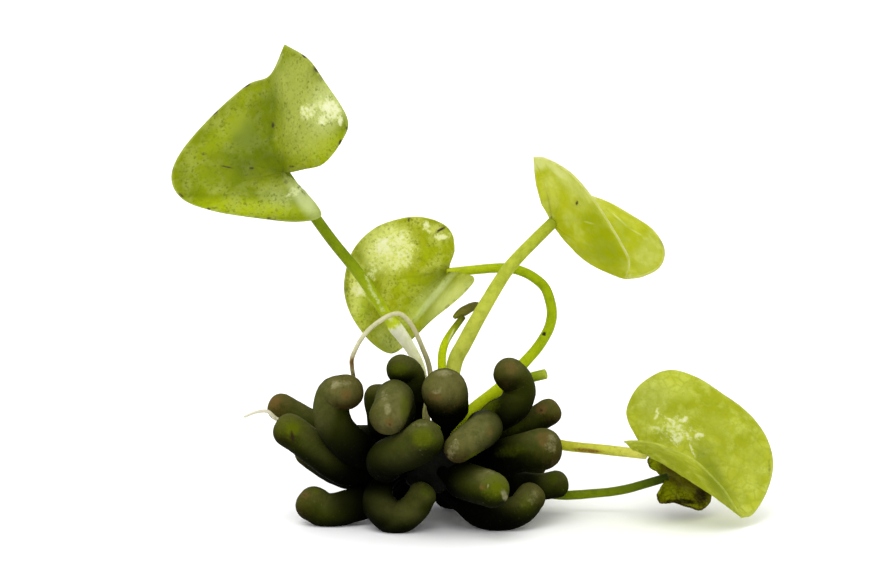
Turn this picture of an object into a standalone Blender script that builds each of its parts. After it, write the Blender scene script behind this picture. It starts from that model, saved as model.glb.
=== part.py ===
"""Banana plant: a crown with a bunch of banana-shaped tubers, long-stalked heart leaves and two roots.

Routes and rims are drawn as they are seen from the front, by an eye that looks slightly down:
(across, up, deep), in millimetres. across is to the right of the picture's middle, up is above
the picture's ground line, and deep is away from the eye.
"""

import math

import bmesh
import bpy
import numpy as np
from mathutils import Vector

MM = 0.001

# The eye that the drawing is seen from
EYE_DISTANCE = 420.0
EYE_PITCH = math.radians(8.0)
PICTURE_MIDDLE_UP = 39.2
FLOOR_UP = 0.36

# The crown that everything grows from
CROWN_CENTRE = (-1.0, 10.6, 0.5)
CROWN_HALF_SIZE = np.array([6.6, 6.2, 5.4])
CROWN_SEGMENTS = 12
CROWN_RINGS = 8

# Tubers
TUBER_SAMPLES = 17
TUBER_NECK = 1.0
NECK_SHARE = 0.42
TIP_STARTS = 0.6
ROUND_END = ((0.45, 0.89), (0.80, 0.60), (0.97, 0.26))
FLAT_DEPTH = 0.35

# Roundness of the tubes: a bevel resolution of 2 gives eight sides, and 1 gives six
THICK_TUBE_BEVEL = 2
THIN_TUBE_BEVEL = 1

# Clearances
CROWN_GAP = 0.75
CROWDING_GAP = 0.45
CROWDING_ROUNDS = 700
SIDEWAYS_GIVE = 0.45
TETHER = 0.004
SMOOTHING_PASSES = 3
FIXED_LINE_SAMPLES = 60

# Leaves
BLADE_THICKNESS = 0.6
BLADE_ROWS = (0.40, 0.75, 1.0)
RIM_STEPS = 2
KEEL_WIDTH = 0.16

# name: (route, girth radius, radius at the tip, rests on the floor)
TUBERS = {
    "tuber_01": ([(-16.2, 12.7, 4), (-21.9, 16.9, 6), (-26.9, 19.8, 6.5)], 2.5, 2.4, False),
    "tuber_02": ([(-14.5, 9.6, -3), (-20.7, 12.7, -3.5), (-25.5, 15.9, -3.5)], 2.9, 2.8, False),
    "tuber_03": ([(-14.0, 8.6, 2.5), (-18.7, 10.3, 3.5), (-22.0, 12.6, 4)], 2.2, 2.2, False),
    "tuber_04": (
        [(-12.3, 10.6, -4), (-15.6, 13.2, -6), (-18.1, 17.0, -7), (-18.4, 20.0, -7.5), (-17.8, 22.3, -8),
         (-16.2, 22.5, -9.5)], 3.1, 2.95, False),
    "tuber_05": ([(-8.8, 14.4, -0.5), (-10.0, 18.1, 0), (-9.9, 21.4, 0)], 2.4, 2.5, False),
    "tuber_06": (
        [(-6.6, 15.0, -4), (-7.4, 19.9, -7), (-7.8, 21.3, -11.5), (-8.4, 18.2, -15.5)], 3.15, 3.05, False),
    "tuber_07": (
        [(-3.7, 17.2, -0.5), (-4.0, 22.3, -0.5), (-5.0, 25.4, -1), (-6.4, 26.3, -2)], 2.4, 2.5, False),
    "tuber_08": ([(1.3, 17.0, -3), (1.2, 21.2, -6.5), (0.8, 22.6, -11.5)], 3.5, 3.7, False),
    "tuber_09": (
        [(5.5, 16.0, -1), (9.2, 18.2, -1), (12.3, 19.9, -1.5), (13.5, 22.3, -1.5), (13.0, 24.5, -2),
         (11.9, 25.6, -3)], 2.7, 2.7, False),
    "tuber_10": ([(4.6, 15.0, 3.5), (8.4, 17.6, 5.5), (11.5, 19.6, 6.5)], 2.0, 2.0, False),
    "tuber_11": ([(11.0, 14.7, 2.5), (15.3, 17.3, 3), (18.2, 19.1, 3)], 2.1, 2.3, False),
    "tuber_12": ([(8.5, 10.8, -2), (14.0, 12.2, -3.5), (17.2, 12.8, -4.5)], 3.2, 3.5, False),
    "tuber_13": ([(10.7, 7.4, 3), (16.4, 6.5, 4), (19.6, 6.8, 4.5)], 2.2, 2.3, False),
    "tuber_14": (
        [(1.6, 4.6, -1.5), (6.0, 2.6, -4), (10.2, 1.4, -5), (13.6, 2.4, -5), (15.2, 4.3, -4.6)],
        2.7, 2.5, True),
    "tuber_15": ([(0.8, 8.6, -6.5), (4.6, 7.3, -10.5), (8.6, 6.0, -15)], 3.0, 2.95, False),
    "tuber_16": (
        [(3.4, 13.0, -5), (6.4, 15.9, -6.5), (7.7, 16.3, -10.5), (5.3, 14.7, -14), (2.7, 13.2, -16)],
        2.9, 2.45, False),
    "tuber_17": (
        [(-7.2, 9.4, -5), (-9.8, 10.6, -9.5), (-6.8, 12.3, -13.5), (-2.6, 14.5, -16.5)], 3.2, 3.2, False),
    "tuber_18": (
        [(-8.4, 8.4, -4), (-10.2, 6.6, -5.6), (-10.2, 4.2, -6.6), (-7.8, 2.2, -7), (-5.0, 3.2, -7),
         (-3.2, 5.6, -7.2)], 2.8, 2.4, True),
    "tuber_19": ([(-12.3, 4.9, -1), (-17.0, 3.1, -2), (-19.8, 3.0, -2), (-21.4, 3.9, -2)], 2.8, 2.95, True),
    "tuber_20": ([(-9.0, 13.0, 6), (-14.0, 14.4, 10), (-18.4, 14.4, 13)], 2.4, 2.3, False),
    "tuber_21": ([(-6.0, 6.8, 7), (-9.0, 5.2, 11), (-11.6, 4.5, 14)], 2.3, 2.3, True),
    "tuber_22": ([(1.2, 4.6, 4.0), (2.2, 3.2, 7.4), (3.4, 2.9, 11.0)], 2.3, 2.3, True),
    "tuber_23": ([(-5.0, 13.0, 8), (-7.0, 14.2, 13), (-7.8, 14.4, 18)], 2.6, 2.6, False),
    "tuber_24": ([(0.6, 15.5, 7), (1.0, 18.4, 11), (1.0, 19.3, 16)], 2.4, 2.4, False),
    "tuber_25": ([(5.0, 12.0, 8), (8.6, 12.8, 13), (11.0, 13.0, 17)], 2.6, 2.5, False),
    "tuber_26": ([(4.6, 7.0, 7), (8.6, 5.2, 11), (12.0, 4.6, 14.5)], 2.2, 2.2, True),
    "tuber_27": ([(7.0, 10.0, 5.5), (12.0, 10.0, 9.5), (16.0, 10.2, 12)], 2.2, 2.1, False),
    "tuber_28": ([(0.0, 10.0, 10), (0.4, 10.0, 15), (0.5, 10.5, 20)], 2.8, 2.8, False),
    "tuber_29": ([(-7.6, 9.8, 7), (-12.0, 10.2, 11), (-15.4, 10.6, 14)], 2.3, 2.2, False),
    "tuber_30": ([(-3.4, 16.4, 6), (-4.6, 18.2, 10), (-5.0, 18.4, 15)], 2.4, 2.4, False),
}

# name: (route, radius at the crown, radius at the far end, number of points)
STALKS = {
    "stalk_upper_left": (
        [(-2.8, 18.0, 3.6), (-2.9, 24.6, 3), (-3.8, 27.6, 2.8), (-5.6, 31.0, 2.2), (-7.2, 32.9, 1.5),
         (-9.4, 36.1, 0.2), (-13.6, 42.4, -1.6), (-17.8, 47.6, -2.5), (-21.2, 52.2, -2.8),
         (-25.9, 58.9, -2.3)], 1.1, 0.85, 16),
    "stalk_middle": (
        [(2.7, 17.0, 0.7), (6.4, 20.1, 2.6), (10.2, 23.1, 4.6), (12.8, 25.9, 6.2), (14.5, 27.7, 6.6),
         (17.3, 31.1, 7), (19.0, 35.2, 7), (18.1, 39.8, 7), (15.8, 42.1, 7), (12.8, 43.4, 6.8),
         (9.4, 43.6, 6.5), (2.8, 43.0, 6.2)], 0.95, 0.7, 22),
    "stalk_upper_right": (
        [(1.0, 18.0, 3.8), (2.4, 27.1, 2.5), (4.3, 31.1, 1), (6.5, 35.2, -0.5), (8.9, 39.3, -1.5),
         (11.1, 42.8, -2), (13.8, 46.0, -2.5), (18.4, 50.6, -2.1)], 1.25, 0.95, 14),
    "stalk_lower_right": (
        [(5.0, 11.6, 6.6), (12.0, 14.0, 7.5), (18.0, 14.0, 5), (22.1, 13.3, 2.2), (27.2, 12.8, 1),
         (33.6, 12.1, -0.2)], 0.95, 0.85, 14),
    "stalk_withered": (
        [(3.0, 8.6, 6.5), (10.0, 7.6, 8), (16.0, 5.8, 8), (20.7, 5.0, 7), (27.2, 5.4, 6), (31.5, 6.0, 5),
         (37.2, 7.6, 4.0)], 0.85, 0.7, 14),
    "stalk_young": (
        [(0.4, 18.0, 0.2), (0.3, 26.5, 0.2), (0.5, 29.8, 0.6), (1.5, 32.0, 1), (3.2, 34.4, 1.2)],
        0.75, 0.45, 10),
    "stalk_cut": (
        [(4.3, 15.0, 4.8), (8.5, 20.0, 8.4), (12.8, 23.9, 7.8), (15.8, 25.1, 5), (17.9, 25.6, 4.5)],
        0.85, 0.85, 10),
}

ROOTS = {
    "root_arched": (
        [(-2.2, 18.0, -0.6), (-1.6, 23.7, -0.6), (-1.9, 27.1, -0.8), (-3.1, 30.3, -2), (-4.4, 33.2, -3),
         (-5.8, 35.1, -4), (-7.1, 35.9, -4.5), (-8.5, 35.6, -5), (-10.5, 34.4, -5), (-12.6, 32.6, -5),
         (-14.1, 30.3, -4.8), (-15.0, 28.1, -4.5), (-15.0, 27.0, -4), (-14.6, 24.6, -2), (-14.1, 22.0, 0)],
        0.45, 0.3, 22),
    "root_short": (
        [(-20.0, 15.0, 1.2), (-25.5, 17.2, 1.0), (-27.7, 17.9, 0.5), (-28.8, 18.9, 0), (-30.0, 19.4, 0),
         (-31.9, 18.9, 0), (-33.3, 18.3, 0)], 0.35, 0.25, 14),
}

# join is where the stalk meets the blade. rim goes from one side of the notch to the other.
# keel bends the midrib, which runs from the join to the rim point that tip counts to.
LEAVES = {
    "leaf_upper_left": {
        "join": (-26.5, 59.8, -3.5), "cup": 0.8, "tip": 6, "keel": (0.0, 0.0, 0.0),
        "rim": [(-23.6, 60.7, -6.5), (-19.8, 61.4, -9.8), (-16.6, 65.4, -13.2), (-15.9, 69.2, -14.2),
                (-19.9, 75.6, -12.5), (-22.6, 79.3, -9.5), (-26.3, 81.6, -4.8), (-28.8, 76.4, -1),
                (-32.7, 74.7, 0.3), (-38.5, 69.7, 1), (-43.8, 63.6, 0.2), (-45.6, 59.0, -1.3),
                (-43.8, 55.4, -2.8), (-38.9, 53.4, -4.4), (-31.5, 52.2, -6.2), (-24.3, 51.5, -7.6),
                (-20.5, 52.3, -8), (-23.6, 56.4, -6.2)]},
    "leaf_middle": {
        "join": (1.3, 42.9, 6), "cup": 0.8, "tip": 10, "keel": (0.0, 0.0, 0.0),
        "rim": [(2.4, 46.5, 5), (2.2, 49.0, 5.5), (0.5, 51.1, 6), (-3.1, 52.3, 7), (-6.8, 52.0, 8),
                (-11.3, 50.2, 8.5), (-14.9, 46.3, 8.5), (-16.3, 40.7, 8), (-15.2, 35.8, 7.5),
                (-11.9, 31.2, 7), (-8.2, 29.1, 7), (-5.1, 31.3, 4.5), (-1.5, 34.8, 0), (2.0, 37.6, -3),
                (4.6, 40.0, -4), (5.8, 41.9, -3), (3.6, 42.5, 1)]},
    "leaf_upper_right": {
        "join": (19.1, 51.3, -1.5), "cup": 0.9, "tip": 9, "keel": (-1.4, -2.2, -0.8),
        "rim": [(17.2, 54.5, -3.5), (16.3, 58.1, -5.5), (15.9, 62.5, -7), (18.1, 62.2, -8.5),
                (22.4, 59.6, -11), (26.2, 55.2, -12), (28.7, 51.4, -12), (31.1, 47.4, -11),
                (32.3, 44.6, -8.5), (31.7, 41.8, -4), (34.7, 42.3, 0), (37.5, 43.9, 4),
                (38.1, 46.9, 7), (36.1, 50.1, 9.5), (32.4, 52.6, 11), (28.5, 54.8, 11),
                (24.0, 56.2, 9), (20.6, 56.0, 5)]},
    "leaf_lower_right": {
        "join": (34.9, 12.0, -0.5), "cup": 0.8, "tip": 9, "keel": (0.0, 0.0, 0.0),
        "rim": [(32.6, 12.8, -4.5), (31.3, 14.1, -8), (34.0, 14.2, -11), (36.9, 13.7, -13),
                (40.3, 12.5, -14), (43.5, 10.8, -14), (46.2, 8.2, -13), (48.3, 5.9, -11),
                (50.0, 3.3, -8.5), (51.4, 1.2, -5),
                (53.4, 2.0, -3), (55.6, 5.7, 0), (56.6, 10.3, 3), (55.4, 14.9, 6), (52.3, 19.0, 8),
                (47.9, 22.3, 9.5), (43.4, 25.1, 10), (38.6, 26.2, 9), (34.0, 23.7, 7), (31.8, 19.8, 4.5),
                (32.1, 17.1, 3)]},
    "leaf_withered": {
        "join": (38.5, 8.0, 3.6), "cup": 0.6, "tip": 5, "keel": (0.0, 0.0, 0.0),
        "rim": [(35.7, 9.8, 6), (35.4, 11.3, 8.5), (38.3, 12.3, 10.5), (42.5, 10.6, 11), (45.2, 7.6, 9.5),
                (46.0, 4.2, 6), (44.5, 2.6, 3), (42.2, 3.0, 1), (39.8, 3.7, 0.5), (37.4, 3.7, 1),
                (36.9, 5.2, 1.5)]},
}

YOUNG_LEAF = ([(2.4, 35.2, 1.2), (3.3, 35.9, 1.6), (4.3, 36.4, 1.9), (5.5, 37.1, 2.3), (6.5, 37.7, 2.8)],
              (0.3, 0.75, 0.85, 0.7, 0.3), 8)

COLOURS = {
    "tuber": ((0.055, 0.075, 0.022), 0.5),
    "crown": ((0.030, 0.040, 0.015), 0.7),
    "leaf": ((0.42, 0.56, 0.06), 0.35),
    "withered": ((0.16, 0.15, 0.03), 0.7),
    "stalk": ((0.38, 0.50, 0.05), 0.4),
    "root": ((0.75, 0.72, 0.52), 0.5),
}


def clear_scene():
    for obj in list(bpy.data.objects):
        bpy.data.objects.remove(obj)


def make_materials():
    made = {}
    for name, (colour, roughness) in COLOURS.items():
        material = bpy.data.materials.new(name)
        material.use_nodes = True
        shader = material.node_tree.nodes["Principled BSDF"]
        shader.inputs["Base Color"].default_value = (*colour, 1.0)
        shader.inputs["Roughness"].default_value = roughness
        shader.inputs["Metallic"].default_value = 0.0
        made[name] = material
    return made


# From the drawing to the object's own space, +Z up

def drawn(across, up, deep):
    """The place in millimetres of a point of the drawing: further ones spread, as they do for an eye."""
    spread = 1.0 + deep / EYE_DISTANCE
    rise = PICTURE_MIDDLE_UP + (up - PICTURE_MIDDLE_UP) * spread
    y = rise * math.sin(EYE_PITCH) + deep * math.cos(EYE_PITCH)
    z = rise * math.cos(EYE_PITCH) - deep * math.sin(EYE_PITCH) - FLOOR_UP
    return np.array([across * spread, y, z])


def catmull_rom(points, per_span=12):
    """A smooth curve through the points, as a fine polyline."""
    first = 2 * points[0] - points[1]
    last = 2 * points[-1] - points[-2]
    ends = np.vstack([first, points, last])
    fine = []
    for i in range(1, len(ends) - 2):
        a, b, c, d = ends[i - 1:i + 3]
        for t in np.linspace(0, 1, per_span, endpoint=False):
            fine.append(0.5 * (2 * b + (c - a) * t + (2 * a - 5 * b + 4 * c - d) * t ** 2
                               + (3 * b - a - 3 * c + d) * t ** 3))
    fine.append(points[-1])
    return np.array(fine)


def lengths_along(points):
    return np.concatenate([[0], np.cumsum(np.linalg.norm(np.diff(points, axis=0), axis=1))])


def evenly(points, count):
    """The same line with count points at equal distances."""
    along = lengths_along(points)
    wanted = np.linspace(0, along[-1], count)
    return np.column_stack([np.interp(wanted, along, points[:, k]) for k in range(3)])


def crown_reach(direction):
    """How far the crown's surface is from its centre in a unit direction."""
    return 1.0 / np.linalg.norm(direction / CROWN_HALF_SIZE, axis=-1, keepdims=True)


def route_from_crown(route, count):
    """A smooth route that starts just off the crown and passes through the drawn points."""
    centre = drawn(*CROWN_CENTRE)
    places = np.array([drawn(*p) for p in route])
    outward = places[0] - centre
    outward = outward / np.linalg.norm(outward)
    start = centre + outward * (crown_reach(outward) + CROWN_GAP)
    return evenly(catmull_rom(np.vstack([start, places])), count)


def tuber_radii(girth, tip, count):
    """Narrow at the neck, then full, then on to the tip's own radius."""
    share = np.linspace(0, 1, count)
    grown = np.clip(share / NECK_SHARE, 0, 1)
    grown = grown * grown * (3 - 2 * grown)
    full = np.interp(share, [0, TIP_STARTS, 1], [girth, girth, tip])
    return TUBER_NECK + (full - TUBER_NECK) * grown


# Crowding: tubers push each other apart as they grow

def smoothed(push):
    """Spreads a push along a tuber, so that it bends and doesn't kink."""
    for _ in range(SMOOTHING_PASSES):
        inner = (push[:, :-2] + 2 * push[:, 1:-1] + push[:, 2:]) / 4
        first = (2 * push[:, :1] + push[:, 1:2]) / 3
        last = (2 * push[:, -1:] + push[:, -2:-1]) / 3
        push = np.concatenate([first, inner, last], axis=1)
    return push


def outside_crown(places, radii, centre):
    """Lets each neck leave the crown straight outwards, and keeps the rest of each tuber clear of it."""
    away = places - centre
    distance = np.linalg.norm(away, axis=2, keepdims=True)
    surface = crown_reach(away / distance) + CROWN_GAP
    moved = centre + away / distance * np.maximum(distance, surface + radii[..., None])
    neck = places[:, 0] + places[:, 1] - 2 * centre
    neck = neck / np.linalg.norm(neck, axis=1, keepdims=True)
    step = np.linalg.norm(places[:, 2] - places[:, 1], axis=1, keepdims=True)
    moved[:, 0] = centre + neck * (crown_reach(neck) + CROWN_GAP)
    moved[:, 1] = moved[:, 0] + neck * step
    return moved


def crowd(places, radii, fixed_places, fixed_radii, rests):
    """Moves the tubers' centre lines apart until none is closer than the clearance to another piece."""
    count, samples = radii.shape
    centre = drawn(*CROWN_CENTRE)
    deep = np.array([0.0, math.cos(EYE_PITCH), -math.sin(EYE_PITCH)])
    home = places.copy()
    size = count * samples
    owner = np.repeat(np.arange(count), samples)
    flat_radii = radii.reshape(-1)
    all_radii = np.concatenate([flat_radii, fixed_radii])
    reach = flat_radii[:, None] + all_radii[None, :] + CROWDING_GAP
    reach[owner[:, None] == np.concatenate([owner, np.full(len(fixed_radii), -1)])[None, :]] = 0
    for turn in range(CROWDING_ROUNDS):
        flat = places.reshape(-1, 3)
        others = np.vstack([flat, fixed_places])
        squares = (flat ** 2).sum(axis=1)[:, None] + (others ** 2).sum(axis=1)[None, :] - 2 * flat @ others.T
        here, there = np.nonzero(squares < reach ** 2)
        apart = flat[here] - others[there]
        distance = np.linalg.norm(apart, axis=1) + 1e-9
        lack = (reach[here, there] - distance) * np.where(there < size, 0.5, 1.0)
        steps = apart * (lack / distance)[:, None]
        push = np.column_stack([np.bincount(here, steps[:, k], size) for k in range(3)])
        crowded = np.maximum(np.bincount(here, minlength=size), 1)[:, None]
        push = (push / np.sqrt(crowded)).reshape(count, samples, 3)
        along_view = (push @ deep)[..., None] * deep
        push = along_view + (push - along_view) * SIDEWAYS_GIVE
        hold = TETHER * (1 - turn / CROWDING_ROUNDS)
        places = places + smoothed(push) + hold * (home - places)
        places = outside_crown(places, radii, centre)
        low = places[..., 2] - radii + FLAT_DEPTH
        lift = np.clip(-low, 0, None)
        lift[rests] = -low[rests].min(axis=1, keepdims=True) * (radii[rests] / radii[rests].max())
        places[:, 2:, 2] += smoothed(lift[..., None])[:, 2:, 0]
    return places


# Solids

def add_object(name, data, material, parent):
    obj = bpy.data.objects.new(name, data)
    obj.data.materials.append(material)
    obj.parent = parent
    bpy.context.scene.collection.objects.link(obj)
    return obj


def add_tube(name, places, radii, bevel_resolution, material, parent):
    """A closed tube along a line, with its own radius at each point."""
    curve = bpy.data.curves.new(name, "CURVE")
    curve.dimensions = "3D"
    curve.bevel_depth = MM
    curve.bevel_resolution = bevel_resolution
    curve.use_fill_caps = True
    spline = curve.splines.new("POLY")
    spline.points.add(len(places) - 1)
    for point, place, radius in zip(spline.points, places, radii):
        point.co = (*(Vector(place) * MM), 1.0)
        point.radius = radius
    return add_object(name, curve, material, parent)


def with_round_end(places, radii):
    """The line and radii of a tube, with a rounded end added past its last point."""
    heading = places[-1] - places[-2]
    heading = heading / np.linalg.norm(heading)
    tip, radius = places[-1], radii[-1]
    caps = [tip + heading * radius * ahead for ahead, _ in ROUND_END]
    return np.vstack([places, caps]), np.concatenate([radii, [radius * thin for _, thin in ROUND_END]])


def flatten_underside(obj):
    """Turns a tube into a mesh and cuts off what lies below the floor, so that it rests on a flat."""
    graph = bpy.context.evaluated_depsgraph_get()
    mesh = bpy.data.meshes.new_from_object(obj.evaluated_get(graph))
    bm = bmesh.new()
    bm.from_mesh(mesh)
    bmesh.ops.remove_doubles(bm, verts=bm.verts, dist=1e-6)
    everything = bm.verts[:] + bm.edges[:] + bm.faces[:]
    floor = {"plane_co": (0, 0, 0), "plane_no": (0, 0, -1)}
    cut = bmesh.ops.bisect_plane(bm, geom=everything, **floor, clear_outer=True)
    rim = [e for e in cut["geom_cut"] if isinstance(e, bmesh.types.BMEdge)]
    if rim:
        bmesh.ops.contextual_create(bm, geom=rim)
    bmesh.ops.recalc_face_normals(bm, faces=bm.faces)
    bm.to_mesh(mesh)
    bm.free()
    name, material, parent = obj.name, obj.data.materials[0], obj.parent
    bpy.data.objects.remove(obj)
    mesh.materials.clear()
    return add_object(name, mesh, material, parent)


def build_crown(material, parent):
    mesh = bpy.data.meshes.new("crown")
    bm = bmesh.new()
    bmesh.ops.create_uvsphere(bm, u_segments=CROWN_SEGMENTS, v_segments=CROWN_RINGS, radius=1.0)
    bmesh.ops.scale(bm, vec=Vector(CROWN_HALF_SIZE) * MM, verts=bm.verts)
    bmesh.ops.translate(bm, vec=Vector(drawn(*CROWN_CENTRE)) * MM, verts=bm.verts)
    bm.to_mesh(mesh)
    bm.free()
    return add_object("crown", mesh, material, parent)


def stalk_lines():
    """Centre line and radii of every stalk and root, which hold their places as the tubers crowd."""
    lines = {}
    for name, (route, thick, thin, count) in {**STALKS, **ROOTS}.items():
        lines[name] = (route_from_crown(route, count), np.linspace(thick, thin, count))
    return lines


def spread_out(values, count):
    """The values, read again at count equal steps from the first to the last."""
    return np.interp(np.linspace(0, 1, count), np.linspace(0, 1, len(values)), values)


def build_tubers(lines, material, parent):
    names = list(TUBERS)
    places = np.array([route_from_crown(TUBERS[n][0], TUBER_SAMPLES) for n in names])
    radii = np.array([tuber_radii(TUBERS[n][1], TUBERS[n][2], TUBER_SAMPLES) for n in names])
    rests = np.array([TUBERS[n][3] for n in names])
    fixed_places = np.vstack([evenly(line, FIXED_LINE_SAMPLES) for line, _ in lines.values()])
    fixed_radii = np.concatenate([spread_out(r, FIXED_LINE_SAMPLES) for _, r in lines.values()])
    places = crowd(places, radii, fixed_places, fixed_radii, rests)
    for name, line, width, resting in zip(names, places, radii, rests):
        obj = add_tube(name, *with_round_end(line[::2], width[::2]), THICK_TUBE_BEVEL, material, parent)
        if resting:
            flatten_underside(obj)


def build_stalks(lines, materials, parent):
    for name, (line, radii) in lines.items():
        if name in ROOTS:
            add_tube(name, line, radii, THIN_TUBE_BEVEL, materials["root"], parent)
        else:
            add_tube(name, line, radii, THICK_TUBE_BEVEL, materials["stalk"], parent)
    route, widths, count = YOUNG_LEAF
    line = evenly(catmull_rom(np.array([drawn(*p) for p in route])), count)
    radii = spread_out(widths, count)
    add_tube("young_leaf", line, radii, THICK_TUBE_BEVEL, materials["withered"], parent)


def blade_rows(leaf):
    """Rows of points of a blade that fans out from the stalk's end to its rim, cupped between."""
    centre = drawn(*leaf["join"])
    spokes = catmull_rom(np.array([drawn(*p) for p in leaf["rim"]]), RIM_STEPS) - centre
    facing = np.cross(spokes[:-1], spokes[1:]).sum(axis=0)
    facing = facing / np.linalg.norm(facing)
    around = np.linspace(0, 1, len(spokes))
    from_keel = (around - leaf["tip"] / (len(leaf["rim"]) - 1)) / KEEL_WIDTH
    bend = drawn(*leaf["keel"]) - drawn(0, 0, 0)
    cup = leaf["cup"] * (1 - np.abs(2 * around - 1) ** 4)
    swell = facing * cup[:, None] + bend * np.exp(-from_keel ** 2)[:, None]
    return centre, [centre + spokes * share + swell * 4 * share * (1 - share) for share in BLADE_ROWS]


def build_leaf(name, material, parent):
    centre, places = blade_rows(LEAVES[name])
    bm = bmesh.new()
    hub = bm.verts.new(Vector(centre) * MM)
    rows = [[bm.verts.new(Vector(place) * MM) for place in row] for row in places]
    for j in range(len(rows[0]) - 1):
        bm.faces.new((hub, rows[0][j], rows[0][j + 1]))
        for inner, outer in zip(rows[:-1], rows[1:]):
            bm.faces.new((inner[j], outer[j], outer[j + 1], inner[j + 1]))
    mesh = bpy.data.meshes.new(name)
    bm.to_mesh(mesh)
    bm.free()
    obj = add_object(name, mesh, material, parent)
    solid = obj.modifiers.new("thickness", "SOLIDIFY")
    solid.thickness = BLADE_THICKNESS * MM
    solid.offset = 0.0
    return obj


def stand_on_origin(plant):
    """Puts the origin in the middle of the plant's footprint, on the floor."""
    bpy.context.view_layer.update()
    graph = bpy.context.evaluated_depsgraph_get()
    corners = []
    for obj in plant.children:
        evaluated = obj.evaluated_get(graph)
        mesh = evaluated.to_mesh()
        corners += [evaluated.matrix_world @ v.co for v in mesh.vertices]
        evaluated.to_mesh_clear()
    corners = np.array(corners)
    low, high = corners.min(axis=0), corners.max(axis=0)
    plant.location = (-(low[0] + high[0]) / 2, -(low[1] + high[1]) / 2, -low[2])


def main():
    clear_scene()
    materials = make_materials()
    plant = bpy.data.objects.new("plant", None)
    bpy.context.scene.collection.objects.link(plant)
    build_crown(materials["crown"], plant)
    lines = stalk_lines()
    build_tubers(lines, materials["tuber"], plant)
    build_stalks(lines, materials, plant)
    for name in LEAVES:
        kind = "withered" if name == "leaf_withered" else "leaf"
        build_leaf(name, materials[kind], plant)
    stand_on_origin(plant)


main()
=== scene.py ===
import math

import bmesh
import bpy
import numpy as np
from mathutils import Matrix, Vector


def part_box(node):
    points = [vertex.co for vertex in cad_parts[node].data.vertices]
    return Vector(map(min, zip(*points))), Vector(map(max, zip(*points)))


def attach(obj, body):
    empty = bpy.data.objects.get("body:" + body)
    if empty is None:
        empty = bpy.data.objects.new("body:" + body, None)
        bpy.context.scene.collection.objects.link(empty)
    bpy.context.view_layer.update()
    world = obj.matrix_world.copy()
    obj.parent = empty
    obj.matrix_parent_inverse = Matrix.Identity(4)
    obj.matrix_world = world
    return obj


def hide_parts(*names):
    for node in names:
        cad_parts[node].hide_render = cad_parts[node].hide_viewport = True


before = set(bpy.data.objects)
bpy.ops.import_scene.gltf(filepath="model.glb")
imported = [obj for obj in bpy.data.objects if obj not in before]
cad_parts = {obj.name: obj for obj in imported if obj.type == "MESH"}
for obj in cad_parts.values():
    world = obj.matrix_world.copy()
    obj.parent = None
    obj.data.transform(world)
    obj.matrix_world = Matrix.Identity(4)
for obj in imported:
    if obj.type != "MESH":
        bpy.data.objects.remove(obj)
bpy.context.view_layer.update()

mm = 0.001

# The drawing of the plant is in millimetres as seen from the front: across, up and deep (away from the eye)
drawing = {
    "eyeDistance": 420.0,
    "eyePitch": math.radians(8.0),
    "pictureMiddleUp": 39.2,
    "pictureWidth": 149.6,
    "floorUp": 0.36,
    "crown": (-1.0, 10.6, 0.5),
}


def seen(across, up, deep):
    # a point of the drawing in the plant's own space, before the plant is centred
    spread = 1.0 + deep / drawing["eyeDistance"]
    rise = drawing["pictureMiddleUp"] + (up - drawing["pictureMiddleUp"]) * spread
    pitch = drawing["eyePitch"]
    y = rise * math.sin(pitch) + deep * math.cos(pitch)
    z = rise * math.cos(pitch) - deep * math.sin(pitch) - drawing["floorUp"]
    return np.array([across * spread, y, z])


crownLow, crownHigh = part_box("crown")
crownCentre = np.array((crownLow + crownHigh) / 2) / mm
centring = crownCentre - seen(*drawing["crown"])


def place(across, up, deep):
    return seen(across, up, deep) + centring


def drawnFrom(points):
    # the reverse of place() for many points: how far across, up and deep each one is drawn
    x, y, z = (np.asarray(points, float) - centring).T
    pitch = drawing["eyePitch"]
    z = z + drawing["floorUp"]
    rise = y * math.sin(pitch) + z * math.cos(pitch)
    deep = y * math.cos(pitch) - z * math.sin(pitch)
    spread = 1.0 + deep / drawing["eyeDistance"]
    up = drawing["pictureMiddleUp"] + (rise - drawing["pictureMiddleUp"]) / spread
    return x / spread, up, deep


def smoothLine(points, perSpan):
    # a curve through all the points; any further columns, such as a radius, are carried along
    points = np.asarray(points, float)
    ends = np.vstack([2 * points[0] - points[1], points, 2 * points[-1] - points[-2]])
    fine = []
    for i in range(1, len(ends) - 2):
        a, b, c, d = ends[i - 1:i + 3]
        for t in np.linspace(0, 1, perSpan, endpoint=False):
            fine.append(0.5 * (2 * b + (c - a) * t + (2 * a - 5 * b + 4 * c - d) * t ** 2
                               + (3 * b - a - 3 * c + d) * t ** 3))
    fine.append(points[-1])
    return np.array(fine)


def unit(vector):
    return vector / np.linalg.norm(vector)


def lengthsAlong(points):
    return np.concatenate([[0], np.cumsum(np.linalg.norm(np.diff(points[:, :3], axis=0), axis=1))])


def evenly(points, count):
    along = lengthsAlong(points)
    wanted = np.linspace(0, along[-1], count)
    return np.column_stack([np.interp(wanted, along, points[:, k]) for k in range(points.shape[1])])


# Wiring of node trees

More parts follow.
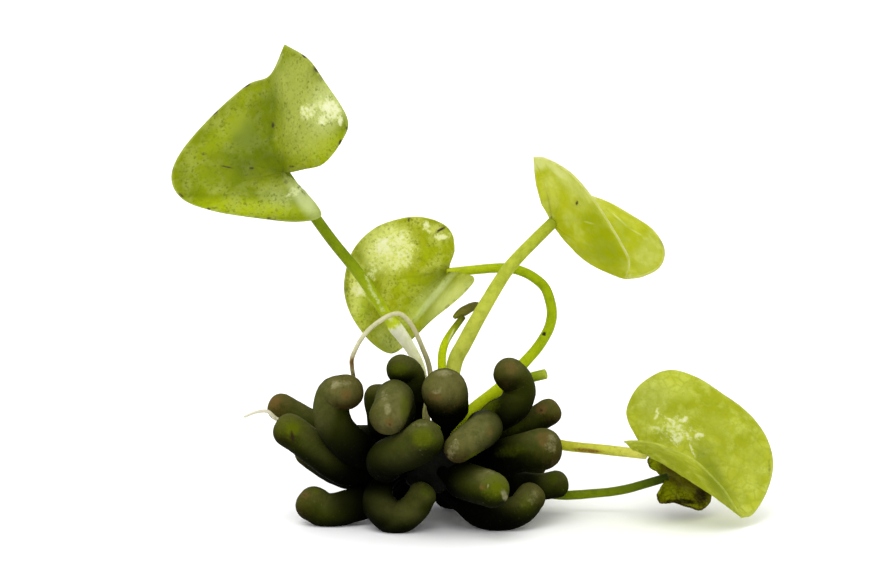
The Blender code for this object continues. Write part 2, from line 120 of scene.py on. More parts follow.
class Wiring:
    def __init__(self, tree):
        self.tree = tree

    def socket(self, sockets, key):
        if isinstance(key, int):
            return sockets[key]
        found = [s for s in sockets if s.name == key and s.enabled]
        return found[0] if found else sockets[key]

    def feed(self, socket, value):
        # a socket takes a link from another node, or a plain value
        if isinstance(value, bpy.types.NodeSocket):
            self.tree.links.new(value, socket)
        else:
            socket.default_value = value

    def add(self, kind, inputs=None, **settings):
        node = self.tree.nodes.new(kind)
        for name, value in settings.items():
            setattr(node, name, value)
        for key, value in (inputs or {}).items():
            self.feed(self.socket(node.inputs, key), value)
        return node

    def math(self, operation, *values, clamp=False):
        node = self.add("ShaderNodeMath", dict(enumerate(values)), operation=operation, use_clamp=clamp)
        return node.outputs[0]

    def times(self, first, *others):
        for other in others:
            first = self.math("MULTIPLY", first, other)
        return first

    def minus(self, first, second):
        return self.math("SUBTRACT", first, second)

    def most(self, first, second):
        return self.math("MAXIMUM", first, second)

    def vector(self, operation, *values):
        node = self.add("ShaderNodeVectorMath", operation=operation)
        for key, value in enumerate(values):
            scaling = operation == "SCALE" and key == 1
            self.feed(node.inputs["Scale" if scaling else key], value)
        return node.outputs[0]

    def split(self, vector):
        return self.add("ShaderNodeSeparateXYZ", {0: vector}).outputs

    def perMetre(self, size):
        # how many patterns of this size go into a metre
        if isinstance(size, bpy.types.NodeSocket):
            return self.math("DIVIDE", 1.0, size)
        return 1.0 / size

    def noise(self, vector, size, detail=2.0, roughness=0.5, w=0.0):
        inputs = {"Vector": vector, "Scale": self.perMetre(size), "Detail": detail,
                  "Roughness": roughness, "W": w}
        return self.add("ShaderNodeTexNoise", inputs, noise_dimensions="4D").outputs[0]

    def between(self, value, low, high, toLow=0.0, toHigh=1.0):
        node = self.add("ShaderNodeMapRange", {"Value": value, "From Min": low, "From Max": high,
                                               "To Min": toLow, "To Max": toHigh},
                        interpolation_type="SMOOTHSTEP")
        return node.outputs[0]

    def blend(self, factor, first, second, kind="MIX"):
        node = self.add("ShaderNodeMix", {0: factor}, data_type="RGBA", blend_type=kind)
        for key, value in ((6, first), (7, second)):
            self.feed(node.inputs[key], (*value, 1.0) if isinstance(value, tuple) else value)
        return node.outputs[2]

    def torn(self, mark, noise, raggedness):
        # the mark with its soft edge broken up by a noise
        uneven = self.math("ADD", mark, self.math("MULTIPLY_ADD", noise, raggedness, -raggedness / 2))
        edge = self.between(uneven, 0.15, 0.85)
        return self.math("MULTIPLY", edge, self.between(mark, 0.0, 0.2))

    def attribute(self, name, output="Fac"):
        return self.add("ShaderNodeAttribute", attribute_name=name).outputs[output]

    def bump(self, strength, distance, height):
        node = self.add("ShaderNodeBump", {"Strength": strength, "Distance": distance, "Height": height})
        return node.outputs[0]

    def skin(self, colour, rough, shine, ior, bump, wet=0.0, wetRough=0.03):
        inputs = {"Base Color": colour, "Roughness": rough, "Specular IOR Level": shine, "IOR": ior,
                  "Normal": bump, "Coat Weight": wet, "Coat Roughness": wetRough}
        return self.add("ShaderNodeBsdfPrincipled", inputs).outputs[0]

    def glowing(self, skin, colour, gain, share):
        # the light that passes through takes the same colour, but is stronger
        light = self.vector("MINIMUM", self.vector("SCALE", colour, gain), (0.95, 0.95, 0.95))
        glow = self.add("ShaderNodeBsdfTranslucent", {"Color": light})
        return self.add("ShaderNodeMixShader", {0: share, 1: skin, 2: glow.outputs[0]}).outputs[0]

    # the rest is for shapes

    def position(self):
        return self.add("GeometryNodeInputPosition").outputs[0]

    def named(self, name, kind="FLOAT"):
        return self.add("GeometryNodeInputNamedAttribute", {"Name": name}, data_type=kind).outputs[0]

    def store(self, geometry, name, value, kind="FLOAT"):
        node = self.add("GeometryNodeStoreNamedAttribute",
                        {"Geometry": geometry, "Name": name, "Value": value}, data_type=kind, domain="POINT")
        return node.outputs[0]

    def push(self, geometry, rise):
        # moves each point along its normal
        normal = self.add("GeometryNodeInputNormal").outputs[0]
        offset = self.vector("SCALE", normal, rise)
        return self.add("GeometryNodeSetPosition", {"Geometry": geometry, "Offset": offset}).outputs[0]


def startTree(name, inputs):
    tree = bpy.data.node_groups.new(name, "GeometryNodeTree")
    tree.interface.new_socket("Geometry", in_out="INPUT", socket_type="NodeSocketGeometry")
    for label, kind in inputs.items():
        tree.interface.new_socket(label, in_out="INPUT", socket_type="NodeSocket" + kind)
    tree.interface.new_socket("Geometry", in_out="OUTPUT", socket_type="NodeSocketGeometry")
    wires = Wiring(tree)
    return tree, wires, tree.nodes.new("NodeGroupInput").outputs


def endTree(wires, geometry, material):
    real = wires.add("GeometryNodeRealizeInstances", {"Geometry": geometry})
    smooth = wires.add("GeometryNodeSetShadeSmooth", {"Geometry": real.outputs[0], "Shade Smooth": True})
    painted = wires.add("GeometryNodeSetMaterial", {"Geometry": smooth.outputs[0], "Material": material})
    out = wires.tree.nodes.new("NodeGroupOutput")
    wires.tree.links.new(painted.outputs[0], out.inputs[0])


def grow(name, seedMesh, tree, values, thickness=None):
    # runs a tree on a seed mesh and keeps the result as a plain mesh
    obj = bpy.data.objects.new(name, seedMesh)
    bpy.context.scene.collection.objects.link(obj)
    nodes = obj.modifiers.new("grow", "NODES")
    nodes.node_group = tree
    for item in tree.interface.items_tree:
        if item.in_out == "INPUT" and item.name in values:
            nodes[item.identifier] = values[item.name]
    if thickness:
        solid = obj.modifiers.new("thickness", "SOLIDIFY")
        solid.thickness = thickness * mm
        solid.offset = 0.0
        solid.material_offset = 1
    graph = bpy.context.evaluated_depsgraph_get()
    mesh = bpy.data.meshes.new_from_object(obj.evaluated_get(graph))
    mesh.name = name
    obj.modifiers.clear()
    obj.data = mesh
    return obj


def lineMesh(name, points, **columns):
    # a chain of points in millimetres, with one named value a point for each column
    mesh = bpy.data.meshes.new(name)
    points = np.asarray(points, float) * mm
    mesh.from_pydata([tuple(p) for p in points], [(i, i + 1) for i in range(len(points) - 1)], [])
    for label, numbers in columns.items():
        numbers = np.asarray(numbers, np.float32)
        kind, key = ("FLOAT", "value") if numbers.ndim == 1 else ("FLOAT_VECTOR", "vector")
        mesh.attributes.new(label, kind, "POINT").data.foreach_set(key, numbers.reshape(-1))
    return mesh


def paintMarks(piece, marks, frontOnly=False):
    # each mark is a soft oval, on both sides of the piece or only where it faces the front
    mesh = piece.data
    spots = np.empty(len(mesh.vertices) * 3, np.float32)
    mesh.vertices.foreach_get("co", spots)
    across, up, _ = drawnFrom(spots.reshape(-1, 3) / mm)
    front = 1.0
    if frontOnly:
        normals = np.empty_like(spots)
        mesh.vertex_normals.foreach_get("vector", normals)
        front = np.clip(0.3 - 3.0 * normals.reshape(-1, 3)[:, 1], 0, 1)
    for kind, ovals in marks.items():
        layer = np.zeros(len(across))
        for strength, middle, height, wide, tall, turn in ovals:
            cos, sin = math.cos(math.radians(turn)), math.sin(math.radians(turn))
            right, rise = across - middle, up - height
            far = np.hypot((right * cos + rise * sin) / wide, (rise * cos - right * sin) / tall)
            near = np.clip((1.8 - far) / 1.4, 0, 1)
            layer = np.maximum(layer, strength * near * near * (3 - 2 * near) * front)
        attribute = mesh.attributes.new(kind + "Mark", "FLOAT", "POINT")
        attribute.data.foreach_set("value", layer.astype(np.float32))


def keep(piece, node):
    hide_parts(node)
    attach(piece, "root")


# The camera sees the plant at the photograph's viewing angle

def makeCamera():
    pitch = drawing["eyePitch"]
    up = drawing["pictureMiddleUp"]
    data = bpy.data.cameras.new("camera")
    camera = bpy.data.objects.new("camera", data)
    bpy.context.scene.collection.objects.link(camera)
    data.sensor_width = 36.0
    data.lens = drawing["eyeDistance"] / drawing["pictureWidth"] * data.sensor_width
    data.clip_start = 0.01
    aim = np.array([0, up * math.sin(pitch), up * math.cos(pitch) - drawing["floorUp"]]) + centring
    back = np.array([0, -math.cos(pitch), math.sin(pitch)]) * drawing["eyeDistance"]
    camera.location = Vector(aim + back) * mm
    camera.rotation_euler = (math.pi / 2 - pitch, 0, 0)
    bpy.context.scene.camera = camera


makeCamera()
print("camera ready")


# Studio

studio = {
    "floorSize": 24.0,
    "floorColour": (0.95, 0.95, 0.95),
    "skyStrength": 1.2,
    "lowStrength": 0.72,
    "horizonBlend": 0.45,
    "sunStrength": 1.2,
    "sunSpread": 35.0,
    "sunFrom": (-0.25, -0.55, 1.0),
}


def makeStudio():
    scene = bpy.context.scene
    scene.view_settings.view_transform = "Standard"
    # a white dome that dims downwards, as in a light tent
    world = bpy.data.worlds.new("studio")
    world.use_nodes = True
    world.node_tree.nodes.clear()
    wires = Wiring(world.node_tree)
    way = wires.split(wires.add("ShaderNodeTexCoord").outputs["Generated"])
    blend = studio["horizonBlend"]
    dome = wires.between(way["Z"], -blend, blend, studio["lowStrength"], studio["skyStrength"])
    sky = wires.add("ShaderNodeBackground", {"Color": (1, 1, 1, 1), "Strength": dome})
    out = wires.add("ShaderNodeOutputWorld")
    world.node_tree.links.new(sky.outputs[0], out.inputs["Surface"])
    scene.world = world

    mesh = bpy.data.meshes.new("floor")
    half = studio["floorSize"] / 2
    corners = [(-half, -half, 0), (half, -half, 0), (half, half, 0), (-half, half, 0)]
    mesh.from_pydata(corners, [], [(0, 1, 2, 3)])
    floor = bpy.data.objects.new("floor", mesh)
    scene.collection.objects.link(floor)
    material = bpy.data.materials.new("pale floor")
    material.use_nodes = True
    shader = material.node_tree.nodes["Principled BSDF"]
    shader.inputs["Base Color"].default_value = (*studio["floorColour"], 1)
    shader.inputs["Roughness"].default_value = 0.8
    mesh.materials.append(material)

    lamp = bpy.data.lights.new("key", "SUN")
    lamp.energy = studio["sunStrength"]
    lamp.angle = math.radians(studio["sunSpread"])
    sun = bpy.data.objects.new("key", lamp)
    sun.rotation_euler = Vector(studio["sunFrom"]).to_track_quat("Z", "Y").to_euler()
    scene.collection.objects.link(sun)


makeStudio()
print("studio ready")


# Materials

def startMaterial(name):
    material = bpy.data.materials.new(name)
    material.use_nodes = True
    material.node_tree.nodes.clear()
    wires = Wiring(material.node_tree)
    coordinates = wires.add("ShaderNodeTexCoord").outputs["Object"]
    return material, wires, coordinates


def endMaterial(wires, shader):
    out = wires.add("ShaderNodeOutputMaterial")
    wires.tree.links.new(shader, out.inputs["Surface"])


# the first two colours are painted shade and the fourth is painted top light; pale is partly the skin's own
# and partly painted glints
tuberPaint = {
    "neck": (0.0008, 0.001, 0.0004), "shade": (0.0045, 0.0058, 0.0007), "body": (0.028, 0.034, 0.0024),
    "topLight": (0.112, 0.11, 0.034), "brown": (0.105, 0.066, 0.017), "lime": (0.07, 0.088, 0.002),
    "pale": (0.23, 0.215, 0.105), "scar": (0.02, 0.011, 0.006), "specks": 0.16, "pits": 0.6,
    "roughness": 0.5, "shine": 0.04, "ior": 1.15, "grain": 0.25, "relief": 0.2,
    "patchSize": 4.5, "mottleSize": 1.5, "speckSize": 0.4}


def tuberMaterial():
    look = tuberPaint
    material, wires, at = startMaterial("tuber skin")
    along = wires.attribute("along")
    broad = wires.noise(at, look["patchSize"] * mm, 3.0, 0.6, 1.0)
    mottle = wires.noise(at, look["mottleSize"] * mm, 4.0, 0.65, 3.0)
    fine = wires.noise(at, look["speckSize"] * mm, 3.0, 0.6, 5.0)
    # painted shade below, olive on the sides, with a painted top light on what faces up
    facing = wires.split(wires.add("ShaderNodeNewGeometry").outputs["Normal"])["Z"]
    height = wires.math("ADD", facing, wires.math("MULTIPLY_ADD", broad, 0.9, -0.45))
    colour = wires.blend(wires.between(height, -0.7, 0.4), look["shade"], look["body"])
    marked = wires.attribute("topLightMark")
    amount = wires.times(wires.between(height, -0.1, 1.0, 0.0, 0.5), wires.between(along, 0.35, 0.85))
    topLight = wires.times(wires.most(amount, marked), wires.between(mottle, 0.3, 0.7, 0.5, 1.0))
    colour = wires.blend(topLight, colour, look["topLight"])
    # painted shade: all are darker towards the crown, where they crowd, and the low ones a little further out
    # near the floor, and darker still under the ovals of deep shade
    nearFloor = wires.between(wires.split(at)["Z"], 0.012, 0.002, 0.0, 0.04)
    inward = wires.between(wires.minus(along, nearFloor), 0.80, 0.34)
    inward = wires.times(inward, wires.minus(1.0, marked))
    colour = wires.blend(inward, colour, look["neck"])
    colour = wires.blend(wires.attribute("deepShadeMark"), colour, look["neck"])
    # tips turn brown, in uneven patches
    ragged = wires.math("ADD", along, wires.math("MULTIPLY_ADD", mottle, 0.5, -0.25))
    tip = wires.times(wires.between(ragged, 0.76, 1.0), wires.attribute("tipBrown"))
    colour = wires.blend(tip, colour, look["brown"])
    spots = wires.math("MULTIPLY_ADD", mottle, 0.6, wires.times(fine, 0.4))
    # pale marks are partly pale skin and partly painted glints and highlights
    for kind, raggedness in (("lime", 0.8), ("brown", 1.2), ("pale", 1.4), ("scar", 0.5)):
        mark = wires.torn(wires.attribute(kind + "Mark"), spots, raggedness)
        colour = wires.blend(mark, colour, look[kind])
    specks = wires.times(wires.between(fine, 0.60, 0.72), wires.between(along, 0.45, 0.95))
    colour = wires.blend(wires.times(specks, look["specks"]), colour, look["pale"])
    pits = wires.between(fine, 0.38, 0.28)
    colour = wires.blend(wires.times(pits, look["pits"]), colour, look["scar"])
    rough = wires.between(fine, 0.3, 0.7, look["roughness"] - 0.08, look["roughness"] + 0.1)
    grain = wires.math("ADD", wires.times(mottle, 0.5), fine)
    bump = wires.bump(look["grain"], look["relief"] * mm, grain)
    endMaterial(wires, wires.skin(colour, rough, look["shine"], look["ior"], bump))
    return material


# the colours of the marks on a stalk, where the white ones are painted highlights, and the pattern that all
# stalks and roots share
stalkPaint = {"brown": (0.2, 0.1, 0.02), "scar": (0.03, 0.02, 0.008), "highlight": (0.8, 0.83, 0.42)}
stalkPattern = {
    "streak": (0.6, 0.66, 0.4), "streakSize": 1.4, "speck": (0.08, 0.055, 0.008), "speckSize": 0.35,
    "shine": 0.2, "ior": 1.2, "wetRoughness": 0.15, "grain": 0.2, "relief": 0.1, "through": 1.4,
    "translucence": 0.35}


def stalkMaterial(name, look):
    # colour runs along the stalk from one end to the other, by the stops in look
    pattern = stalkPattern
    material, wires, at = startMaterial(name)
    streak = wires.noise(at, pattern["streakSize"] * mm, 3.0, 0.6, 2.0)
    fine = wires.noise(at, pattern["speckSize"] * mm, 2.0, 0.5, 4.0)
    along = wires.math("ADD", wires.attribute("along"), wires.math("MULTIPLY_ADD", streak, 0.04, -0.02))
    ramp = wires.add("ShaderNodeValToRGB", {0: along})
    stops = look["stops"]
    while len(ramp.color_ramp.elements) < len(stops):
        ramp.color_ramp.elements.new(0.5)
    for element, (position, colour) in zip(ramp.color_ramp.elements, stops):
        element.position = position
        element.color = (*colour, 1)
    colour = wires.blend(wires.between(streak, 0.40, 0.70, 0.0, look["streaks"]), ramp.outputs[0],
                         pattern["streak"], "MULTIPLY")
    specks = wires.between(fine, 0.66, 0.74)
    colour = wires.blend(wires.times(specks, look["specks"]), colour, pattern["speck"])
    for kind, paint in stalkPaint.items():
        colour = wires.blend(wires.torn(wires.attribute(kind + "Mark"), fine, 0.8), colour, paint)
    bump = wires.bump(pattern["grain"], pattern["relief"] * mm, streak)
    skin = wires.skin(colour, look["roughness"], pattern["shine"], pattern["ior"], bump,
                      look["wet"], pattern["wetRoughness"])
    endMaterial(wires, wires.glowing(skin, colour, pattern["through"], pattern["translucence"]))
    return material


netShape = {"warpSize": 2.0, "warp": 0.6, "veinWidth": 0.18}


def veinNet(wires, here, size):
    # a net of fine veins with cells of this size: 1 on a vein and 0 between
    scale = wires.perMetre(netShape["warpSize"] * mm)
    warp = wires.add("ShaderNodeTexNoise", {"Vector": here, "Scale": scale}).outputs["Color"]
    warped = wires.vector("ADD", here, wires.vector("SCALE", warp, netShape["warp"] * mm))
    cells = wires.add("ShaderNodeTexVoronoi", {"Vector": warped, "Scale": wires.perMetre(size)},
                      feature="DISTANCE_TO_EDGE")
    return wires.between(cells.outputs["Distance"], netShape["veinWidth"], 0.0)


def dots(wires, here, spacing, size, share):
    # round dots on a jittered grid, up to size across its cells; share is how many of the cells have one
    cells = wires.add("ShaderNodeTexVoronoi", {"Vector": here, "Scale": wires.perMetre(spacing)},
                      feature="F1")
    chosen = wires.add("ShaderNodeSeparateColor", {0: cells.outputs["Color"]}).outputs[0]
    radius = wires.between(chosen, 0.0, 1.0, size * 0.5, size)
    near = wires.between(wires.math("DIVIDE", cells.outputs["Distance"], radius), 1.0, 0.6)
    return wires.times(near, wires.math("LESS_THAN", chosen, share))


# the pattern that all leaves share, with sizes in mm
leafPattern = {
    "broadSize": 9.0, "patchSize": 2.2, "fineSize": 0.6, "speckSize": 0.42, "dotSpacing": 1.9,
    "dotSize": 0.17, "nickSpacing": 2.4, "ior": 1.3, "wetRoughness": 0.12, "relief": 0.25}


def leafMaterial(name, look):
    pattern = leafPattern
    material, wires, at = startMaterial(name)
    rest = wires.attribute("rest", "Vector")
    out = wires.attribute("out")
    kinds = ("light", "pale", "deep", "paleSheen", "calm", "highlight", "rim", "dark")
    mark = {kind: wires.attribute(kind + "Mark") for kind in kinds}
    seed = look["seed"]
    broad = wires.noise(at, pattern["broadSize"] * mm, 2.0, 0.5, seed)
    middle = wires.noise(at, pattern["patchSize"] * mm, 3.0, 0.6, seed + 2)
    fine = wires.noise(at, pattern["fineSize"] * mm, 3.0, 0.6, seed + 4)
    plain = wires.math("SUBTRACT", 1.0, mark["calm"], clamp=True)
    colour = wires.blend(wires.between(broad, 0.38, 0.62), look["deep"], look["main"])
    colour = wires.blend(mark["light"], colour, look["light"])
    veiled = wires.times(wires.between(middle, 0.40, 0.70, 0.0, look["cloud"]), plain)
    veiled = wires.most(veiled, wires.torn(mark["pale"], middle, 0.5))
    colour = wires.blend(veiled, colour, look["pale"])
    uneven = wires.between(middle, 0.25, 0.65, 0.75, 1.0)
    colour = wires.blend(wires.times(mark["deep"], uneven), colour, look["shade"])
    # a smooth pale patch: partly the blade's own pale colour and partly painted sheen where the wet blade
    # catches the light
    colour = wires.blend(wires.times(mark["paleSheen"], uneven), colour, look["paleSheen"])
    net = wires.times(veinNet(wires, rest, look["netSize"] * mm), look["netDark"],
                      wires.between(broad, 0.3, 0.7, 0.3, 1.0))
    veins = wires.most(net, wires.times(wires.attribute("rib"), look["ribDark"]))
    colour = wires.blend(wires.times(veins, plain), colour, look["vein"])
    # small dark specks, thicker in some patches
    patches = wires.between(middle, 0.35, 0.60, 0.3, 1.0)
    grains = wires.noise(rest, pattern["speckSize"] * mm, 1.0, 0.5, seed + 8)
    small = wires.times(wires.between(grains, 0.50, 0.72), 0.75)
    large = wires.times(dots(wires, rest, pattern["dotSpacing"] * mm, pattern["dotSize"], patches), 0.5)
    specks = wires.times(wires.most(small, large), look["specks"], patches, plain)
    colour = wires.blend(specks, colour, look["speck"])
    # painted highlights: pale flecks where the wet skin catches the light
    flecks = wires.math("MULTIPLY_ADD", middle, 0.4, wires.times(fine, 0.6))
    colour = wires.blend(wires.torn(mark["highlight"], flecks, 3.0), colour, look["highlight"])
    # the margin is thin and pale, with brown nicks here and there (out runs from the join to the rim)
    edge = wires.between(out, 0.97, 0.995)
    marked = wires.times(mark["rim"], wires.between(out, 0.88, 0.94))
    edge = wires.most(wires.times(edge, look["rimPale"]), marked)
    colour = wires.blend(edge, colour, look["rim"])
    nicks = wires.noise(at, pattern["nickSpacing"] * mm, 1.0, 0.5, seed + 6)
    nicks = wires.between(nicks, 0.60, 0.66)
    nicks = wires.times(nicks, look["nicks"], wires.between(out, 0.955, 0.985))
    dark = wires.most(nicks, wires.torn(mark["dark"], fine, 0.7))
    colour = wires.blend(dark, colour, look["nick"])
    rough = wires.between(middle, 0.35, 0.65, look["roughness"] - 0.08, look["roughness"] + 0.10)
    height = wires.math("ADD", wires.times(net, -0.5), wires.times(fine, 0.3))
    bump = wires.bump(look["grain"], pattern["relief"] * mm, height)
    skin = wires.skin(colour, rough, look["shine"], pattern["ior"], bump,
                      look["wet"], pattern["wetRoughness"])
    endMaterial(wires, wires.glowing(skin, colour, look["through"], look["translucence"]))
    return material


# The sweep is a tube that follows a line of points, each with its own thickness

def makeSweepTree():
    tree, wires, given = startTree("sweep", {
        "Sides": "Int", "Swell Height": "Float", "Swell Size": "Float", "Wrinkle Height": "Float",
        "Wrinkle Size": "Float", "Seed": "Float", "Tip Brown": "Float", "Material": "Material"})
    line = wires.add("GeometryNodeMeshToCurve", {"Mesh": given["Geometry"]})
    turned = wires.add("GeometryNodeSetCurveNormal", {"Curve": line.outputs[0]}, mode="MINIMUM_TWIST")
    ring = wires.add("GeometryNodeCurvePrimitiveCircle", {"Resolution": given["Sides"], "Radius": 1.0})
    tube = wires.add("GeometryNodeCurveToMesh", {"Curve": turned.outputs[0], "Profile Curve": ring.outputs[0],
                                                 "Scale": wires.named("thick"), "Fill Caps": True})
    here = wires.position()
    swell = wires.noise(here, given["Swell Size"], 1.0, 0.5, given["Seed"])
    wrinkle = wires.noise(here, given["Wrinkle Size"], 3.0, 0.55, given["Seed"])
    rise = wires.math("ADD", wires.times(wires.minus(swell, 0.5), given["Swell Height"]),
                      wires.times(wires.minus(wrinkle, 0.5), given["Wrinkle Height"]))
    moved = wires.push(tube.outputs[0], rise)
    # nothing sinks below the floor
    spot = wires.split(wires.position())
    rest = wires.add("ShaderNodeCombineXYZ", {0: spot["X"], 1: spot["Y"], 2: wires.most(spot["Z"], 0.0)})
    resting = wires.add("GeometryNodeSetPosition", {"Geometry": moved, "Position": rest.outputs[0]})
    endTree(wires, wires.store(resting.outputs[0], "tipBrown", given["Tip Brown"]), given["Material"])
    return tree


# The blade is a surface that fans out from the stalk's end to the rim of the leaf

bladeShape = {"ribSharpness": 4.0, "ribSharpens": 26.0, "calmJoin": 0.25, "calmRim": 0.85}


def makeBladeTree():
    shape = bladeShape
    tree, wires, given = startTree("blade", {
        "Rows": "Int", "Join": "Vector", "Ripple Height": "Float", "Ripple Size": "Float",
        "Net Height": "Float", "Net Size": "Float", "Rib Height": "Float", "Rib Count": "Float",
        "Seed": "Float", "Material": "Material"})
    rim = given["Geometry"]
    count = wires.add("GeometryNodeAttributeDomainSize", {"Geometry": rim}, component="MESH")
    grid = wires.add("GeometryNodeMeshGrid", {"Size X": 1.0, "Size Y": 1.0, "Vertices X": count.outputs[0],
                                              "Vertices Y": given["Rows"]})
    flat = wires.split(wires.position())
    geometry = wires.store(grid.outputs[0], "around", wires.math("ADD", flat["X"], 0.5))
    geometry = wires.store(geometry, "out", wires.math("ADD", flat["Y"], 0.5))
    u = wires.named("around")
    v = wires.named("out")
    index = wires.math("ROUND", wires.times(u, wires.minus(count.outputs[0], 1.0)))

    def onRim(value):
        node = wires.add("GeometryNodeSampleIndex", {"Geometry": rim, "Value": value, "Index": index},
                         data_type="FLOAT_VECTOR", domain="POINT")
        return wires.socket(node.outputs, "Value")

    # the swell is highest halfway out and the brim's waves three quarters of the way, where each counts 1
    left = wires.minus(1.0, v)
    spot = given["Join"]
    for way, share in ((wires.vector("SUBTRACT", onRim(wires.position()), given["Join"]), v),
                       (onRim(wires.named("swell", "FLOAT_VECTOR")), wires.times(v, left, 4.0)),
                       (onRim(wires.named("brim", "FLOAT_VECTOR")),
                        wires.times(wires.math("POWER", v, 3.0), left, 9.48))):
        spot = wires.vector("ADD", spot, wires.vector("SCALE", way, share))
    shaped = wires.add("GeometryNodeSetPosition", {"Geometry": geometry, "Position": spot})
    welded = wires.add("GeometryNodeMergeByDistance", {"Geometry": shaped.outputs[0], "Distance": 1e-6})
    upper = wires.add("GeometryNodeFlipFaces", {"Mesh": welded.outputs[0]})
    here = wires.position()
    # a net of veins stands as a fine relief, and ribs fan out from the stalk
    net = veinNet(wires, here, given["Net Size"])
    wave = wires.math("COSINE", wires.times(u, given["Rib Count"], math.tau))
    sharp = wires.math("MULTIPLY_ADD", v, shape["ribSharpens"], shape["ribSharpness"])
    rib = wires.math("POWER", wires.math("MULTIPLY_ADD", wave, 0.5, 0.5), sharp)
    rib = wires.times(rib, wires.between(v, 0.95, 0.3))
    kept = wires.store(upper.outputs[0], "rest", here, "FLOAT_VECTOR")
    kept = wires.store(kept, "rib", rib)
    ripple = wires.noise(here, given["Ripple Size"], 3.0, 0.5, given["Seed"])
    calm = wires.times(wires.between(v, 0.0, shape["calmJoin"]),
                       wires.between(v, 1.0, shape["calmRim"], 0.3, 1.0))
    rise = wires.times(wires.minus(ripple, 0.5), given["Ripple Height"], calm)
    rise = wires.minus(rise, wires.times(net, given["Net Height"]))
    rise = wires.minus(rise, wires.times(rib, given["Rib Height"]))
    endTree(wires, wires.push(kept, rise), given["Material"])
    return tree


def sweepValues(look):
    return {"Sides": look["sides"], "Swell Height": look["swellHeight"] * mm,
            "Swell Size": look["swellSize"] * mm, "Wrinkle Height": look["wrinkleHeight"] * mm,
            "Wrinkle Size": look["wrinkleSize"] * mm}


def endTurns(steps, last):
    # where the rings of a rounded end stand, as shares of its reach; the last one stays a little open
    turns = np.sin(np.linspace(0, math.pi / 2, steps + 1)[1:])
    turns[-1] = last
    return turns


sweepTree = makeSweepTree()
bladeTree = makeBladeTree()


# Rings of a tube's solid, from the end at the crown to the far end

ringCheck = {"floor": 0.02, "flatness": 0.02, "sharpEnd": 66, "leastCorners": 5}


def readMesh(node):
    bm = bmesh.new()
    bm.from_mesh(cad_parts[node].data)
    bmesh.ops.remove_doubles(bm, verts=bm.verts, dist=1e-6)
    return bm


def places(verts):
    return np.array([v.co for v in verts]) / mm


def flatEnds(bm):
    # the rims of a tube's two flat ends
    ends = []
    for edge in bm.edges:
        if edge.calc_face_angle(0) > math.radians(ringCheck["sharpEnd"]) and min(
                v.co.z for v in edge.verts) > ringCheck["floor"] * mm:
            touching = [e for e in ends if e & set(edge.verts)]
            ends = [e for e in ends if e not in touching] + [set(edge.verts).union(*touching)]
    return [e for e in ends if len(e) >= ringCheck["leastCorners"]]


def besides(verts, done):
    found = {e.other_vert(v) for v in verts for e in v.link_edges} - done
    return {v for v in found if v.co.z > ringCheck["floor"] * mm}


def circleThrough(points):
    # a ring that rests on the floor has lost its lowest corners, so its middle is fitted
    middle = points.mean(axis=0)
    axes = np.linalg.svd(points - middle)[2][:2]
    flat = (points - middle) @ axes.T
    squares = (flat ** 2).sum(axis=1)
    fit = np.linalg.lstsq(np.column_stack([2 * flat, np.ones(len(flat))]), squares, rcond=None)[0]
    return [*(middle + fit[:2] @ axes), math.sqrt(fit[2] + fit[0] ** 2 + fit[1] ** 2)]


def ringsOf(node):
    bm = readMesh(node)
    ring = min(flatEnds(bm), key=lambda end: np.linalg.norm(places(end).mean(axis=0) - crownCentre))
    done, rings = set(ring), []
    while len(ring) > 2:
        rings.append(circleThrough(places(ring)))
        ring = besides(ring, done)
        more = ring
        while more and len(ring) > 2:
            middle = places(ring).mean(axis=0)
            normal = np.linalg.svd(places(ring) - middle)[2][2]
            more = {v for v in besides(ring, done | ring)
                    if abs((np.array(v.co) / mm - middle) @ normal) < ringCheck["flatness"]}
            ring = ring | more
        done |= ring
    bm.free()
    return np.array(rings)


# Tubers

tuberShape = {
    "sides": 40, "perSpan": 12, "steps": 54, "domeSteps": 12, "domeEnd": 0.9995, "domeFullness": 2.25,
    "roundEndRings": 3, "rootedBy": 1.8, "plumper": 1.02, "swellHeight": 0.55, "swellSize": 5.0,
    "wrinkleHeight": 0.16, "wrinkleSize": 1.1, "seedStep": 3.7}

# How brown each tip is. The rest have the usual tip.
usualTip = 0.2
tuberTips = {
    "tuber_01": 0.35, "tuber_02": 0.1, "tuber_03": 0.2, "tuber_04": 0.25, "tuber_05": 0.1, "tuber_06": 0.1,
    "tuber_07": 0.0, "tuber_08": 0.15, "tuber_09": 0.15, "tuber_11": 0.3, "tuber_12": 0.2, "tuber_13": 0.0,
    "tuber_14": 0.15, "tuber_15": 0.0, "tuber_16": 0.2, "tuber_17": 0.0, "tuber_18": 0.0, "tuber_19": 0.15}
